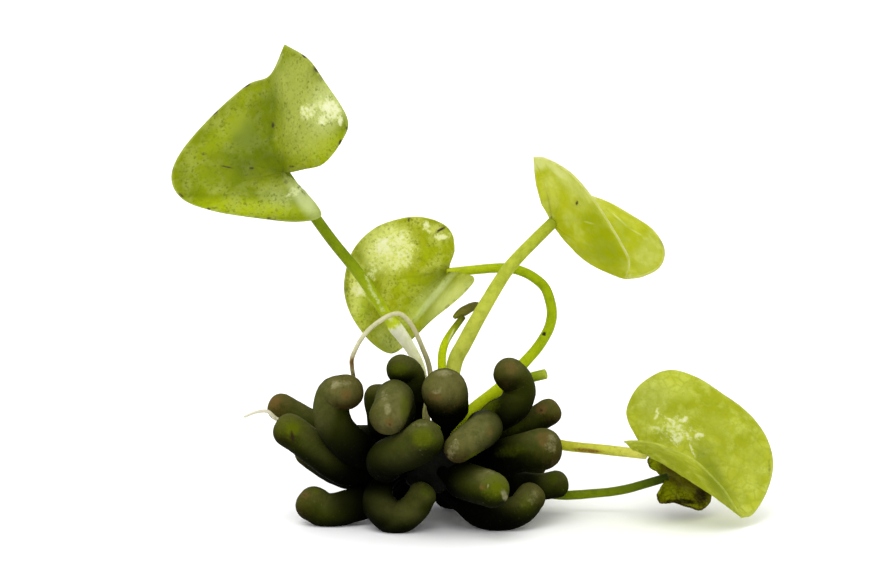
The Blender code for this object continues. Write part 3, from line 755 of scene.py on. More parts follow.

# Marks by kind, here and below: strength, across, up, half width, half height and turn of each oval.
# The places and sizes are those of the drawing, and the turn is in degrees.
# The ovals that lighten the tops are painted top light, and those that darken the skin in the bunch's hollows
# are painted shade.
tuberMarks = {
    "tuber_01": {"brown": [(0.7, -28.4, 20.9, 1.4, 1.2, 0)], "topLight": [(0.5, -27.0, 22.0, 2.4, 1.2, -20)]},
    "tuber_02": {
        "lime": [(0.75, -25.1, 16.4, 1.5, 1.2, 0), (0.45, -25.2, 16.8, 3.2, 2.2, 0)],
        "scar": [(0.8, -25.1, 15.0, 0.3, 1.0, 10)],
        "topLight": [(0.4, -23.6, 18.6, 3.0, 1.2, -15), (0.2, -20.4, 13.2, 3.6, 1.6, -40)]},
    "tuber_04": {
        "brown": [(0.65, -16.0, 22.2, 0.9, 0.8, 0)],
        # the first pale oval is a painted highlight
        "pale": [(0.6, -17.8, 23.8, 0.9, 0.5, 30), (0.4, -16.6, 24.0, 1.8, 0.7, 0)],
        "scar": [(0.4, -15.8, 21.6, 0.4, 0.3, 0)],
        "topLight": [(0.9, -17.0, 23.4, 3.2, 2.0, 0), (0.45, -20.2, 20.0, 2.0, 4.0, 0)]},
    "tuber_06": {
        "brown": [(0.65, -8.5, 17.4, 0.8, 0.8, 0)],
        "pale": [(0.55, -8.9, 19.6, 0.6, 1.1, 0), (0.4, -9.4, 22.0, 0.8, 0.8, 0)],
        "lime": [(0.55, -6.0, 20.0, 0.9, 2.4, 0)], "scar": [(0.6, -8.5, 17.0, 0.3, 0.3, 0)],
        "topLight": [(1.0, -8.2, 20.0, 2.6, 4.2, 0)]},
    "tuber_07": {"lime": [(0.5, -6.9, 26.6, 1.6, 1.2, 0)], "topLight": [(0.35, -7.0, 28.4, 2.4, 1.2, 0)]},
    "tuber_08": {
        # the first pale oval is a painted highlight
        "pale": [(0.55, 0.9, 25.8, 1.5, 0.6, 0), (0.5, -0.6, 22.6, 0.8, 0.5, 30)],
        "brown": [(0.6, -0.9, 21.8, 1.2, 1.0, 0)], "topLight": [(0.95, 0.5, 24.4, 3.6, 2.8, 0)],
        "lime": [(0.35, -2.0, 24.6, 1.2, 1.6, 0)]},
    "tuber_09": {
        "lime": [(0.6, 6.6, 19.6, 3.8, 1.8, 28)], "brown": [(0.5, 12.0, 26.6, 1.4, 1.0, 0)],
        "topLight": [(0.6, 12.4, 27.6, 2.6, 1.8, 0)]},
    "tuber_11": {
        "brown": [(0.8, 17.2, 19.6, 0.9, 0.8, 0)], "lime": [(0.45, 12.6, 16.8, 2.8, 1.2, 30)],
        "scar": [(0.7, 17.2, 19.4, 0.3, 0.3, 0)], "topLight": [(0.5, 16.4, 20.4, 2.4, 1.2, 20)]},
    "tuber_12": {
        "pale": [(0.38, 19.0, 13.8, 1.0, 1.7, 0)], "brown": [(0.5, 17.6, 14.6, 1.2, 1.4, 0)],
        "lime": [(0.35, 12.0, 12.6, 3.0, 1.2, 10)], "topLight": [(0.4, 17.0, 15.4, 3.0, 1.6, 0)],
        "deepShade": [(0.8, 9.6, 10.4, 4.6, 1.5, 8)]},
    "tuber_13": {
        "deepShade": [(0.8, 15.2, 7.0, 1.6, 2.6, 0)], "lime": [(0.6, 19.2, 7.9, 1.0, 1.0, 0)],
        "topLight": [(0.35, 18.2, 9.0, 2.0, 1.0, 0)]},
    "tuber_14": {
        "deepShade": [(0.9, 8.6, 0.8, 6.5, 2.4, -10)], "pale": [(0.36, 15.8, 4.6, 1.0, 1.3, 0)],
        "lime": [(0.4, 14.6, 4.0, 1.6, 1.6, 0)], "topLight": [(0.6, 15.0, 5.4, 2.0, 1.4, 0)]},
    "tuber_15": {
        "lime": [(0.6, 9.6, 6.6, 2.6, 2.2, 0), (1.0, 9.6, 6.4, 1.0, 0.8, 0)],
        "brown": [(0.6, 7.2, 6.3, 0.6, 0.5, 0)],
        # the second pale oval is a painted glint
        "pale": [
            (0.65, 11.0, 4.9, 0.5, 1.0, 20), (0.8, 8.1, 6.6, 0.22, 0.32, 0), (0.5, 8.8, 9.4, 1.4, 0.7, 0)],
        "topLight": [(0.9, 9.0, 8.4, 2.8, 1.8, -10)]},
    "tuber_16": {
        "brown": [(0.5, 8.5, 15.9, 0.5, 1.2, -20), (0.35, 1.6, 12.2, 0.7, 0.8, 0)],
        # the second pale oval is a painted glint
        "pale": [(0.42, 2.2, 12.9, 1.0, 1.5, -25), (0.8, 2.7, 14.4, 0.22, 0.25, 0)],
        "scar": [(0.8, 1.1, 11.9, 0.25, 0.3, 0)],
        "lime": [(0.5, 6.4, 11.8, 2.2, 0.8, 20), (0.3, -1.4, 9.8, 1.6, 1.0, 20)],
        "topLight": [(0.9, 5.4, 16.0, 4.2, 2.6, 35)]},
    "tuber_17": {
        # the pale oval is a painted highlight
        "lime": [(0.62, -2.9, 14.9, 2.0, 1.8, 0)], "pale": [(0.4, -3.5, 17.0, 1.6, 0.4, 0)],
        "topLight": [(0.55, -4.2, 17.0, 3.2, 1.4, -10), (0.18, -7.0, 12.6, 4.0, 2.2, 20)]},
    "tuber_18": {
        "topLight": [
            (0.35, -9.6, 3.4, 2.4, 2.2, 0), (0.3, -5.6, 2.4, 3.4, 1.0, 40), (0.5, -2.6, 6.4, 2.2, 2.0, 0),
            (0.45, -8.0, 3.0, 4.0, 1.6, -20)],
        "lime": [(0.5, -2.4, 5.8, 1.4, 1.4, 0)]},
    "tuber_19": {
        "brown": [(0.6, -22.8, 5.0, 0.8, 0.6, 0)], "lime": [(0.45, -21.2, 5.7, 1.2, 0.6, 0)],
        "scar": [(0.5, -23.0, 5.0, 0.35, 0.25, 0)], "deepShade": [(0.6, -15.6, 4.0, 2.6, 2.2, 0)]},
}


def growTubers():
    look = tuberShape
    material = tuberMaterial()
    tubers = sorted(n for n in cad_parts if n.startswith("tuber_"))
    for number, node in enumerate(tubers):
        rings = ringsOf(node)[:-look["roundEndRings"]]
        inward = unit(crownCentre - rings[0, :3])
        root = np.append(rings[0, :3] + inward * look["rootedBy"], rings[0, 3])
        line = evenly(smoothLine(np.vstack([root, rings]), look["perSpan"]), look["steps"])
        line[:, 3] *= look["plumper"]
        heading = unit(line[-1, :3] - line[-2, :3])
        radius = line[-1, 3]
        power = look["domeFullness"]
        dome = [np.append(line[-1, :3] + heading * radius * t, radius * (1 - t ** power) ** (1 / power))
                for t in endTurns(look["domeSteps"], look["domeEnd"])]
        line = np.vstack([line, dome])
        along = lengthsAlong(line)
        seed = lineMesh(node + "_line", line[:, :3], thick=line[:, 3] * mm, along=along / along[-1])
        piece = grow(node + "_skin", seed, sweepTree, {
            **sweepValues(look), "Seed": number * look["seedStep"],
            "Tip Brown": tuberTips.get(node, usualTip), "Material": material})
        paintMarks(piece, tuberMarks.get(node, {}), frontOnly=True)
        keep(piece, node)


growTubers()
print("tubers grown")


# The crown is a lumpy knot between the tubers, painted near black as painted shade where it lies between them

crownShape = {
    "cuts": 3, "lumpHeight": 1.2, "lumpSize": 2.6, "shade": (0.0008, 0.001, 0.0004),
    "bark": (0.005, 0.005, 0.002), "barkSize": 1.2, "roughness": 0.75, "shine": 0.1, "ior": 1.5,
    "grain": 0.5, "relief": 0.3}


def makeKnotTree():
    tree, wires, given = startTree("knot", {
        "Cuts": "Int", "Lump Height": "Float", "Lump Size": "Float", "Material": "Material"})
    fine = wires.add("GeometryNodeSubdivisionSurface", {"Mesh": given["Geometry"], "Level": given["Cuts"]})
    lumps = wires.noise(wires.position(), given["Lump Size"], 3.0, 0.6, 7.0)
    rise = wires.times(wires.minus(lumps, 0.5), given["Lump Height"])
    endTree(wires, wires.push(fine.outputs[0], rise), given["Material"])
    return tree


def growCrown():
    look = crownShape
    material, wires, at = startMaterial("crown bark")
    rough = wires.noise(at, look["barkSize"] * mm, 4.0, 0.65, 1.0)
    colour = wires.blend(rough, look["shade"], look["bark"])
    bump = wires.bump(look["grain"], look["relief"] * mm, rough)
    endMaterial(wires, wires.skin(colour, look["roughness"], look["shine"], look["ior"], bump))
    bm = readMesh("crown")
    seed = bpy.data.meshes.new("crown_seed")
    bm.to_mesh(seed)
    bm.free()
    piece = grow("crown_knot", seed, makeKnotTree(), {
        "Cuts": look["cuts"], "Lump Height": look["lumpHeight"] * mm, "Lump Size": look["lumpSize"] * mm,
        "Material": material})
    keep(piece, "crown")


growCrown()
print("crown grown")


# Stalks, roots and the rolled young leaf. thick holds shares of the length with the radius there, and stops
# holds shares of the length with the colour there. beyond is how far the line goes on past its solid.

usualTube = {"streaks": 0.6, "roughness": 0.42, "wet": 0.05, "specks": 0.1, "beyond": 0.0, "marks": {}}
stalks = {
    "stalk_upper_left": {
        **usualTube,
        "thick": [
            (0, 0.75), (0.2, 0.8), (0.3, 1.0), (0.385, 1.22), (0.395, 1.22), (0.4, 0.98), (0.7, 0.95),
            (1, 0.9)],
        "stops": [
            (0.0, (0.74, 0.74, 0.28)), (0.24, (0.9, 0.89, 0.6)), (0.385, (0.94, 0.93, 0.78)),
            (0.395, (0.56, 0.64, 0.03)), (0.46, (0.46, 0.54, 0.012)), (0.55, (0.32, 0.4, 0.006)),
            (0.66, (0.22, 0.29, 0.003)), (1.0, (0.18, 0.25, 0.003))],
        "streaks": 0.5, "roughness": 0.38, "specks": 0.2, "beyond": 1.2,
        "marks": {
            "highlight": [
                (0.5, -12.4, 41.8, 0.3, 0.7, 30), (0.45, -12.0, 40.4, 0.4, 0.7, 30),
                (0.5, -11.3, 39.2, 0.4, 0.8, 30), (0.5, -10.5, 37.9, 0.4, 0.5, 35),
                (0.45, -9.8, 36.6, 0.4, 0.6, 35), (0.45, -8.4, 34.9, 0.5, 0.7, 35),
                (0.4, -7.3, 33.7, 0.5, 0.6, 35)]}},
    "stalk_middle": {
        **usualTube, "thick": [(0, 1.25), (0.25, 1.15), (0.4, 0.95), (1, 0.78)],
        "stops": [
            (0.0, (0.44, 0.52, 0.004)), (0.3, (0.54, 0.62, 0.006)), (0.45, (0.38, 0.47, 0.005)),
            (0.8, (0.38, 0.46, 0.005)), (1.0, (0.52, 0.58, 0.02))],
        "roughness": 0.38, "specks": 0.35, "beyond": 1.5,
        "marks": {"scar": [(0.9, 17.7, 32.4, 0.35, 0.35, 0)], "highlight": [(0.4, 17.9, 36.0, 0.2, 1.2, 0)]}},
    "stalk_upper_right": {
        **usualTube, "thick": [(0, 1.2), (0.35, 1.36), (0.7, 1.12), (1, 0.98)],
        "stops": [(0.0, (0.68, 0.7, 0.16)), (0.45, (0.6, 0.63, 0.1)), (1.0, (0.4, 0.45, 0.03))],
        "roughness": 0.5, "beyond": 1.2},
    "stalk_lower_right": {
        **usualTube, "thick": [(0, 0.95), (1, 0.85)],
        "stops": [
            (0.0, (0.4, 0.46, 0.01)), (0.6, (0.52, 0.52, 0.04)), (0.8, (0.56, 0.56, 0.07)),
            (1.0, (0.64, 0.63, 0.14))],
        "roughness": 0.4, "specks": 0.7, "beyond": 1.4,
        "marks": {"brown": [(0.7, 25.2, 12.6, 2.6, 0.35, -6)]}},
    "stalk_withered": {
        **usualTube, "thick": [(0, 0.85), (1, 0.75)],
        "stops": [
            (0.0, (0.2, 0.27, 0.003)), (0.7, (0.21, 0.27, 0.003)), (0.92, (0.1, 0.15, 0.002)),
            (1.0, (0.035, 0.055, 0.002))],
        "specks": 0.3, "beyond": 1.5},
    "stalk_young": {
        **usualTube, "thick": [(0, 0.78), (0.6, 0.72), (1, 0.55)],
        "stops": [
            (0.0, (0.52, 0.6, 0.003)), (0.75, (0.54, 0.62, 0.004)), (0.92, (0.3, 0.34, 0.01)),
            (1.0, (0.14, 0.14, 0.02))],
        "roughness": 0.36, "beyond": 1.2, "marks": {"highlight": [(0.7, 1.9, 32.2, 0.14, 1.3, -25)]}},
    "stalk_cut": {
        **usualTube, "thick": [(0, 0.85), (1, 0.88)],
        "stops": [(0.0, (0.26, 0.33, 0.005)), (0.93, (0.3, 0.38, 0.012)), (1.0, (0.42, 0.48, 0.05))],
        "specks": 0.2},
}

roots = {
    "root_arched": {
        **usualTube, "thick": [(0, 0.5), (0.4, 0.42), (0.85, 0.38), (1, 0.3)],
        "stops": [
            (0.0, (0.36, 0.32, 0.12)), (0.3, (0.46, 0.43, 0.22)), (0.5, (0.62, 0.59, 0.38)),
            (0.75, (0.66, 0.64, 0.46)), (0.88, (0.5, 0.42, 0.24)), (1.0, (0.36, 0.3, 0.14))],
        "roughness": 0.5, "marks": {"brown": [(0.7, -15.0, 27.6, 0.4, 0.9, 0)]}},
    "root_short": {
        **usualTube, "thick": [(0, 0.4), (0.8, 0.34), (1, 0.2)],
        "stops": [(0.0, (0.55, 0.48, 0.3)), (0.8, (0.66, 0.63, 0.5)), (1.0, (0.7, 0.68, 0.58))],
        "roughness": 0.5, "specks": 0.0},
}

youngLeaf = {
    **usualTube, "thick": [(0, 0.35), (0.15, 0.55), (0.4, 0.86), (0.7, 0.78), (0.9, 0.5), (1, 0.15)],
    "stops": [(0.0, (0.28, 0.29, 0.02)), (0.4, (0.24, 0.22, 0.05)), (1.0, (0.15, 0.14, 0.03))],
    "roughness": 0.55, "specks": 0.6}

tubeShape = {
    "sides": 28, "perSpan": 12, "leastSteps": 12, "stepsPerMm": 2.2, "swellHeight": 0.1, "swellSize": 4.0,
    "wrinkleHeight": 0.05, "wrinkleSize": 0.7, "rootedBy": 1.5, "roundSteps": 6, "roundEnd": 0.999,
    "endReach": 0.35}


def growTube(node, look, suffix):
    rings = ringsOf(node)
    line = smoothLine(rings[:, :3], tubeShape["perSpan"])
    if look["beyond"]:
        line = np.vstack([line, line[-1] + unit(line[-1] - line[-2]) * look["beyond"]])
    if node != "young_leaf":
        line = np.vstack([line[0] + unit(crownCentre - line[0]) * tubeShape["rootedBy"], line])
    length = lengthsAlong(line)[-1]
    line = evenly(line, int(length * tubeShape["stepsPerMm"]) + tubeShape["leastSteps"])
    share = np.linspace(0, 1, len(line))
    thick = np.interp(share, *zip(*look["thick"]))
    # the ends are rounded off over a fraction of their radius
    heading = unit(line[-1] - line[-2])
    turns = endTurns(tubeShape["roundSteps"], tubeShape["roundEnd"])
    line = np.vstack([line] + [line[-1] + heading * thick[-1] * tubeShape["endReach"] * t for t in turns])
    thick = np.concatenate([thick, thick[-1] * np.sqrt(1 - turns ** 2)])
    share = np.concatenate([share, np.ones(len(turns))])
    seed = lineMesh(node + "_line", line, thick=thick * mm, along=share)
    piece = grow(node + suffix, seed, sweepTree, {
        **sweepValues(tubeShape), "Seed": length, "Tip Brown": 0.0,
        "Material": stalkMaterial(node.replace("_", " "), look)})
    paintMarks(piece, look["marks"], frontOnly=True)
    keep(piece, node)


for stalkName, stalkLook in stalks.items():
    growTube(stalkName, stalkLook, "_stem")
for rootName, rootLook in roots.items():
    growTube(rootName, rootLook, "_thread")
growTube("young_leaf", youngLeaf, "_roll")
print("stalks and roots grown")


# Leaves: join is where the stalk meets the blade. The rim goes from one side of the notch to the other.
# keel bends the midrib, which runs from the join to the rim point that tip counts to.

leafShape = {"perSpan": 16, "rows": 90, "thickness": 0.32, "keelWidth": 0.16, "brimWaves": 3.5}

wetLeaf = {
    "deep": (0.19, 0.24, 0.003), "main": (0.27, 0.31, 0.008), "light": (0.4, 0.455, 0.008),
    "pale": (0.4, 0.43, 0.11), "shade": (0.06, 0.1, 0.0005), "highlight": (0.74, 0.76, 0.5),
    "paleSheen": (0.56, 0.6, 0.34), "vein": (0.13, 0.175, 0.002), "netDark": 0.16, "ribDark": 0.2, "cloud": 0.6,
    "specks": 0.8, "speck": (0.09, 0.12, 0.002), "rim": (0.48, 0.52, 0.15), "rimPale": 0.4, "nicks": 0.3,
    "nick": (0.06, 0.04, 0.028), "through": 1.7, "roughness": 0.4, "shine": 0.06, "wet": 0.02, "grain": 0.5,
    "translucence": 0.5, "seed": 1.0}
speckledLeaf = {
    **wetLeaf, "deep": (0.25, 0.285, 0.003), "main": (0.36, 0.385, 0.014), "pale": (0.54, 0.56, 0.17),
    "cloud": 0.6, "specks": 0.9, "speck": (0.15, 0.165, 0.004), "translucence": 0.55, "seed": 3.0}
nettedLeaf = {
    **wetLeaf, "deep": (0.355, 0.385, 0.018), "main": (0.455, 0.48, 0.05), "pale": (0.54, 0.57, 0.15),
    "shade": (0.19, 0.24, 0.001), "vein": (0.23, 0.28, 0.006), "netDark": 0.28, "cloud": 0.6, "specks": 0.2,
    "nicks": 0.15, "seed": 4.0}
softLeaf = {
    **wetLeaf, "deep": (0.38, 0.405, 0.01), "main": (0.45, 0.47, 0.032), "light": (0.55, 0.57, 0.03),
    "pale": (0.58, 0.6, 0.26), "paleSheen": (0.6, 0.62, 0.36), "shade": (0.31, 0.35, 0.001), "netDark": 0.1,
    "ribDark": 0.08, "cloud": 0.35, "specks": 0.0, "nicks": 0.1, "roughness": 0.5, "wet": 0.0,
    "grain": 0.25, "rim": (0.68, 0.66, 0.5), "rimPale": 0.3, "through": 1.75, "translucence": 0.55,
    "seed": 5.0}
underLeaf = {
    **wetLeaf, "deep": (0.29, 0.34, 0.025), "main": (0.33, 0.38, 0.035), "pale": (0.4, 0.44, 0.08),
    "cloud": 0.12, "netDark": 0.06, "ribDark": 0.1, "specks": 0.05, "shine": 0.06, "roughness": 0.55,
    "wet": 0.0, "grain": 0.2, "rim": (0.5, 0.54, 0.26), "rimPale": 0.7, "seed": 9.0}
witheredLeaf = {
    **wetLeaf, "deep": (0.11, 0.085, 0.003), "main": (0.37, 0.38, 0.005), "light": (0.4, 0.46, 0.004),
    "pale": (0.26, 0.27, 0.01), "shade": (0.02, 0.012, 0.004), "vein": (0.04, 0.028, 0.004), "netDark": 0.6,
    "specks": 0.6, "speck": (0.03, 0.015, 0.004), "rim": (0.05, 0.035, 0.006), "rimPale": 0.8, "nicks": 0.9,
    "nick": (0.018, 0.01, 0.003), "through": 1.4, "roughness": 0.5, "shine": 0.03, "wet": 0.0, "grain": 0.8,
    "translucence": 0.3, "seed": 12.0}

usualLeaf = {
    "cup": 0.8, "corners": [], "keel": (0.0, 0.0, 0.0), "brim": 0.4, "netHeight": 0.02, "netSize": 1.0,
    "ribs": 9, "rippleSize": 8.0, "under": underLeaf}
# Among the marks, the white flecks are painted highlights and the smooth veils are partly the blade's own
# pale colour and partly painted sheen.
leaves = {
    "leaf_upper_left": {
        **usualLeaf, "join": (-26.5, 59.8, -3.5), "tip": 6, "corners": [6], "rippleHeight": 0.5,
        "rippleSize": 9.0, "ribHeight": 0.06, "upper": wetLeaf,
        "rim": [
            (-23.6, 60.7, -6.5), (-19.8, 61.4, -9.8), (-16.6, 65.4, -13.2), (-15.9, 69.2, -14.2),
            (-19.9, 75.6, -12.5), (-22.6, 79.3, -9.5), (-26.3, 81.6, -4.8), (-28.8, 76.4, -1),
            (-32.7, 74.7, 0.3), (-38.5, 69.7, 1), (-43.8, 63.6, 0.2), (-45.6, 59.0, -1.3),
            (-43.8, 55.4, -2.8), (-38.9, 53.4, -4.4), (-31.5, 52.2, -6.2), (-24.3, 51.5, -7.6),
            (-20.2, 52.5, -8), (-22.4, 56.0, -6.6), (-24.9, 58.5, -5.4)],
        "marks": {
            "deep": [
                (0.6, -28.2, 61.4, 2.6, 1.8, -50), (0.35, -30.0, 63.0, 2.0, 3.6, 38),
                (0.35, -28.6, 68.0, 0.6, 5.5, -6), (0.45, -31.5, 60.6, 4.2, 2.0, 5),
                (0.25, -36.0, 60.6, 4.0, 2.6, -10), (0.3, -30.0, 71.0, 2.4, 3.4, 0),
                (0.16, -33.6, 66.6, 1.8, 2.6, 20)],
            "pale": [
                (0.75, -21.8, 70.0, 5.0, 7.5, -15), (0.7, -24.8, 75.6, 3.6, 4.6, -25),
                (1.0, -27.5, 78.6, 0.25, 1.8, -29)],
            "paleSheen": [
                (0.6, -18.9, 71.6, 2.6, 4.0, -25), (0.1, -33.6, 66.9, 1.8, 2.4, 20),
                (0.75, -23.0, 55.2, 3.6, 1.3, -50), (0.25, -27.3, 55.6, 2.6, 1.6, -20)],
            "highlight": [
                (0.62, -18.7, 70.9, 2.0, 1.4, -25), (0.5, -22.4, 70.2, 1.6, 1.1, 20),
                (0.6, -16.9, 68.5, 0.4, 0.8, 0), (0.45, -20.0, 68.8, 1.2, 0.7, 0),
                (0.3, -25.0, 56.4, 0.8, 1.4, -40)],
            "calm": [(1.0, -33.6, 66.9, 2.0, 2.2, 20), (1.0, -23.4, 55.4, 3.4, 1.7, -50)],
            "light": [
                (0.35, -38.8, 59.4, 3.4, 3.0, 0), (0.9, -32.3, 53.9, 8.5, 1.3, -4),
                (0.4, -37.5, 65.8, 1.4, 6.0, -45), (0.4, -31.5, 73.0, 2.6, 1.0, 25),
                (0.8, -19.7, 64.4, 3.6, 2.6, 10)],
            "dark": [
                (0.5, -26.2, 58.2, 0.4, 0.35, 0), (0.7, -28.4, 67.9, 0.25, 0.45, 0),
                (0.8, -36.2, 60.8, 1.1, 0.13, -13), (0.7, -32.0, 60.6, 0.4, 0.2, 0),
                (0.4, -31.9, 69.1, 0.25, 0.15, 0), (0.4, -30.6, 69.1, 0.2, 0.15, 0),
                (0.6, -40.2, 63.0, 0.3, 0.3, -40), (0.8, -33.0, 74.6, 0.8, 0.25, 25),
                (0.8, -38.3, 70.0, 0.7, 0.25, 42), (0.7, -42.1, 66.2, 0.4, 0.22, 45),
                (0.8, -23.1, 79.7, 0.5, 0.25, -50), (0.8, -21.1, 77.3, 0.6, 0.25, -55),
                (0.7, -17.1, 72.0, 0.3, 0.22, -50), (0.7, -15.9, 67.4, 0.22, 0.3, 0),
                (0.8, -17.0, 65.0, 0.22, 0.5, -20), (0.7, -44.0, 56.0, 0.5, 0.22, -40),
                (0.7, -39.3, 53.7, 0.3, 0.2, 0), (0.7, -29.1, 52.1, 0.4, 0.2, 0),
                (0.6, -25.2, 60.9, 0.5, 0.2, 0)]}},
    "leaf_middle": {
        **usualLeaf, "join": (1.3, 42.9, 6), "tip": 10, "rippleHeight": 0.45, "rippleSize": 7.0,
        "ribHeight": 0.05, "upper": speckledLeaf,
        "rim": [
            (2.4, 46.5, 5), (2.2, 49.0, 5.5), (0.5, 51.1, 6), (-3.1, 52.3, 7), (-6.8, 52.0, 8),
            (-11.3, 50.2, 8.5), (-14.9, 46.3, 8.5), (-16.3, 40.7, 8), (-15.2, 35.8, 7.5), (-11.9, 31.2, 7),
            (-8.2, 29.1, 7), (-5.1, 31.3, 4.5), (-1.5, 34.8, 0), (2.0, 37.6, -3), (4.6, 40.0, -4),
            (5.8, 41.9, -3), (3.6, 42.5, 1)],
        "marks": {
            "highlight": [
                (0.52, -7.8, 46.6, 3.2, 3.2, 0), (0.5, -13.4, 39.8, 1.3, 1.4, 0),
                (0.45, -11.6, 43.2, 0.8, 1.6, 0), (0.6, -2.2, 50.6, 0.7, 0.9, 30),
                (0.55, 0.6, 49.0, 1.2, 0.5, 10)],
            "pale": [
                (0.8, -8.6, 47.0, 4.6, 4.4, 0), (0.7, -14.4, 40.0, 1.2, 5.5, 0),
                (0.6, -0.6, 50.0, 2.2, 1.2, -20), (0.6, 2.0, 38.4, 4.6, 1.8, 45)],
            "paleSheen": [
                (0.3, -8.4, 31.2, 3.0, 2.0, -30), (0.4, -9.5, 47.0, 3.0, 3.4, 0),
                (0.85, -1.4, 38.4, 4.8, 0.6, 49), (0.35, -3.2, 37.4, 4.6, 1.2, 49),
                (0.4, 1.8, 37.6, 5.0, 2.0, 47), (0.2, -13.8, 38.0, 1.4, 3.2, 0)],
            "dark": [
                (0.9, 0.2, 50.2, 0.8, 0.2, 28), (0.6, -0.6, 49.6, 0.5, 0.15, 20),
                (0.9, -5.3, 51.8, 0.16, 0.4, 0), (0.6, -3.9, 47.7, 0.25, 0.15, 0)],
            "calm": [(1.0, 0.8, 38.0, 5.4, 2.4, 47)],
            "deep": [
                (0.25, -8.7, 30.7, 1.4, 1.3, 0), (0.2, -12.2, 36.3, 0.5, 1.4, 0),
                (0.25, -1.2, 42.2, 3.2, 1.2, 20)],
            "light": [
                (0.6, -5.5, 41.0, 3.0, 1.6, 10), (0.9, -13.6, 37.4, 1.4, 3.6, 0),
                (0.5, -5.0, 35.5, 2.4, 2.4, 0), (0.4, -1.0, 46.0, 2.4, 2.4, 0)]}},
    "leaf_upper_right": {
        **usualLeaf, "join": (19.1, 51.3, -1.5), "cup": 0.9, "tip": 9, "corners": [2, 9],
        "keel": (-1.4, -2.2, -0.8), "brim": 0.0, "rippleHeight": 0.6, "netSize": 2.0, "ribHeight": 0.07,
        "upper": softLeaf, "under": {**softLeaf, "seed": 7.0},
        "rim": [
            (17.2, 54.5, -3.5), (16.3, 58.1, -5.5), (15.9, 62.5, -7), (18.1, 62.2, -8.5), (22.4, 59.6, -11),
            (26.2, 55.2, -12), (28.7, 51.4, -12), (31.1, 47.4, -11), (32.3, 44.6, -8.5), (31.7, 41.8, -4),
            (34.7, 42.3, 0), (37.5, 43.9, 4), (38.1, 46.9, 7), (36.1, 50.1, 9.5), (32.4, 52.6, 11),
            (28.5, 54.8, 11), (24.0, 56.2, 9), (20.6, 56.0, 5)],
        "marks": {
            "paleSheen": [
                (0.7, 16.8, 61.8, 1.4, 1.4, 0), (0.75, 20.4, 59.8, 3.2, 0.6, -38),
                (0.35, 23.0, 58.0, 5.0, 1.6, -40), (0.25, 35.4, 46.0, 1.8, 3.0, -20),
                (0.2, 18.6, 56.5, 1.4, 3.4, 0)],
            "pale": [
                (0.4, 24.0, 54.0, 1.6, 1.2, -30), (0.8, 25.4, 51.3, 1.0, 0.18, -15),
                (0.8, 30.6, 51.8, 1.7, 0.16, -42), (0.6, 33.2, 49.8, 1.4, 0.16, -30),
                (0.5, 32.0, 53.3, 4.5, 0.5, -33)],
            "rim": [
                (0.6, 27.4, 53.8, 1.8, 0.22, -57), (0.75, 29.0, 51.2, 1.2, 0.22, -60),
                (0.7, 30.2, 49.1, 1.3, 0.2, -58), (0.8, 31.5, 46.7, 1.4, 0.18, -60),
                (0.7, 32.3, 43.8, 0.18, 1.7, 0)],
            "dark": [(0.8, 23.3, 54.7, 0.2, 0.4, -15)],
            "deep": [
                (0.6, 26.0, 51.6, 1.6, 1.5, 20), (0.7, 28.4, 47.4, 2.6, 3.4, 20),
                (0.35, 25.6, 46.6, 1.6, 1.6, -45), (0.9, 37.6, 47.9, 0.9, 0.2, -58),
                (0.45, 31.2, 50.4, 1.6, 1.0, -50)]}},
    "leaf_lower_right": {
        **usualLeaf, "join": (34.9, 12.0, -0.5), "tip": 9, "corners": [1, 9], "brim": 0.3,
        "rippleHeight": 0.8, "netHeight": 0.05, "netSize": 2.0, "ribHeight": 0.06, "upper": nettedLeaf,
        "rim": [
            (32.6, 12.8, -4.5), (31.3, 14.1, -8), (34.0, 14.2, -11), (36.9, 13.7, -13), (40.3, 12.5, -14),
            (43.5, 10.8, -14), (46.2, 8.2, -13), (48.3, 5.9, -11), (50.0, 3.3, -8.5), (51.4, 1.2, -5),
            (53.4, 2.0, -3), (55.6, 5.7, 0), (56.6, 10.3, 3), (55.4, 14.9, 6), (52.3, 19.0, 8),
            (47.9, 22.3, 9.5), (43.4, 25.1, 10), (38.6, 26.2, 9), (34.0, 23.7, 7), (31.8, 19.8, 4.5),
            (32.1, 17.1, 3)],
        "marks": {
            "highlight": [
                (0.6, 36.8, 19.0, 0.35, 1.2, -15), (0.6, 39.1, 17.8, 1.6, 0.35, -28),
                (0.55, 41.2, 17.7, 0.8, 0.4, 30), (0.58, 40.3, 14.6, 1.1, 1.1, 0),
                (0.65, 42.0, 15.4, 1.4, 0.25, -70), (0.7, 42.8, 12.8, 1.4, 0.2, -68),
                (0.6, 44.2, 15.2, 0.9, 0.35, 0), (0.42, 40.0, 16.0, 3.2, 2.0, -20)],
            "pale": [
                (0.5, 39.6, 16.4, 3.8, 2.4, -20), (0.4, 53.5, 10.0, 2.2, 5.0, 0),
                (0.5, 40.0, 22.8, 3.6, 2.0, -20), (0.4, 47.0, 17.0, 4.0, 2.0, -30)],
            "deep": [
                (0.6, 46.6, 8.4, 5.6, 1.2, -59), (0.35, 45.0, 12.0, 2.8, 1.6, -50),
                (0.3, 38.6, 15.2, 2.0, 1.0, -20)],
            "dark": [(0.4, 56.0, 9.7, 0.25, 1.8, 0), (0.5, 46.9, 3.4, 0.7, 0.25, -35)],
            "paleSheen": [(0.2, 36.0, 21.8, 2.4, 3.0, 0)]}},
    "leaf_withered": {
        **usualLeaf, "join": (38.5, 8.0, 3.6), "cup": 0.6, "tip": 5, "brim": 0.3, "rippleHeight": 1.6,
        "rippleSize": 2.4, "netHeight": 0.06, "netSize": 1.1, "ribHeight": 0.1, "upper": witheredLeaf,
        "under": {**witheredLeaf, "seed": 14.0},
        "rim": [
            (35.7, 9.8, 6), (35.4, 11.3, 8.5), (38.3, 12.3, 10.5), (42.5, 10.6, 11), (45.2, 7.6, 9.5),
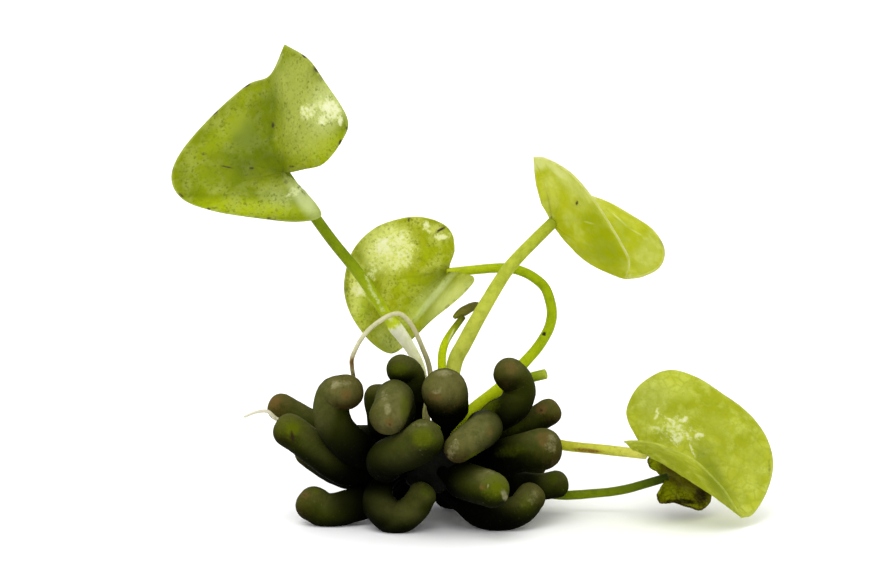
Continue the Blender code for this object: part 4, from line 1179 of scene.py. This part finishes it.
            (46.0, 4.2, 6), (44.5, 2.6, 3), (42.2, 3.0, 1), (39.8, 3.7, 0.5), (37.4, 3.7, 1),
            (36.9, 5.2, 1.5)],
        "marks": {
            "light": [
                (1.0, 36.0, 9.2, 1.2, 1.6, 0), (0.7, 38.4, 5.6, 1.6, 1.4, 0),
                (0.4, 41.6, 5.4, 1.4, 1.0, 0)],
            "dark": [(0.7, 44.4, 4.8, 1.3, 1.6, 0), (0.7, 41.0, 3.9, 3.2, 0.5, 0)]}},
}


def rimLine(points, corners):
    # a smooth rim with a sharp point at each corner
    stops = [0, *corners, len(points) - 1]
    pieces = [smoothLine(points[a:b + 1], leafShape["perSpan"])[:-1] for a, b in zip(stops[:-1], stops[1:])]
    return np.vstack([*pieces, points[-1:]])


def growLeaf(node, look):
    join = place(*look["join"])
    rim = rimLine(np.array([place(*p) for p in look["rim"]]), look["corners"])
    spokes = rim - join
    facing = unit(np.cross(spokes[:-1], spokes[1:]).sum(axis=0))
    around = np.linspace(0, 1, len(rim))
    fromKeel = (around - look["tip"] / (len(look["rim"]) - 1)) / leafShape["keelWidth"]
    bend = seen(*look["keel"]) - seen(0, 0, 0)
    fade = 1 - np.abs(2 * around - 1) ** 4
    cup = look["cup"] * fade
    swell = facing * cup[:, None] + bend * np.exp(-fromKeel ** 2)[:, None]
    wave = np.sin(around * math.tau * leafShape["brimWaves"]) * look["brim"] * fade
    brim = facing * wave[:, None]
    seed = lineMesh(node + "_rim", rim, swell=swell * mm, brim=brim * mm)
    title = node.replace("_", " ")
    upper = leafMaterial(title + " upper", {**look["upper"], "netSize": look["netSize"]})
    under = leafMaterial(title + " under", {**look["under"], "netSize": look["netSize"]})
    piece = grow(node + "_blade", seed, bladeTree, {
        "Rows": leafShape["rows"], "Join": tuple(join * mm), "Ripple Height": look["rippleHeight"] * mm,
        "Ripple Size": look["rippleSize"] * mm, "Net Height": look["netHeight"] * mm,
        "Net Size": look["netSize"] * mm, "Rib Height": look["ribHeight"] * mm,
        "Rib Count": float(look["ribs"]), "Seed": look["upper"]["seed"], "Material": upper},
        leafShape["thickness"])
    piece.data.materials.append(under)
    paintMarks(piece, look["marks"])
    keep(piece, node)


for leafName, leafLook in leaves.items():
    growLeaf(leafName, leafLook)
print("leaves grown")
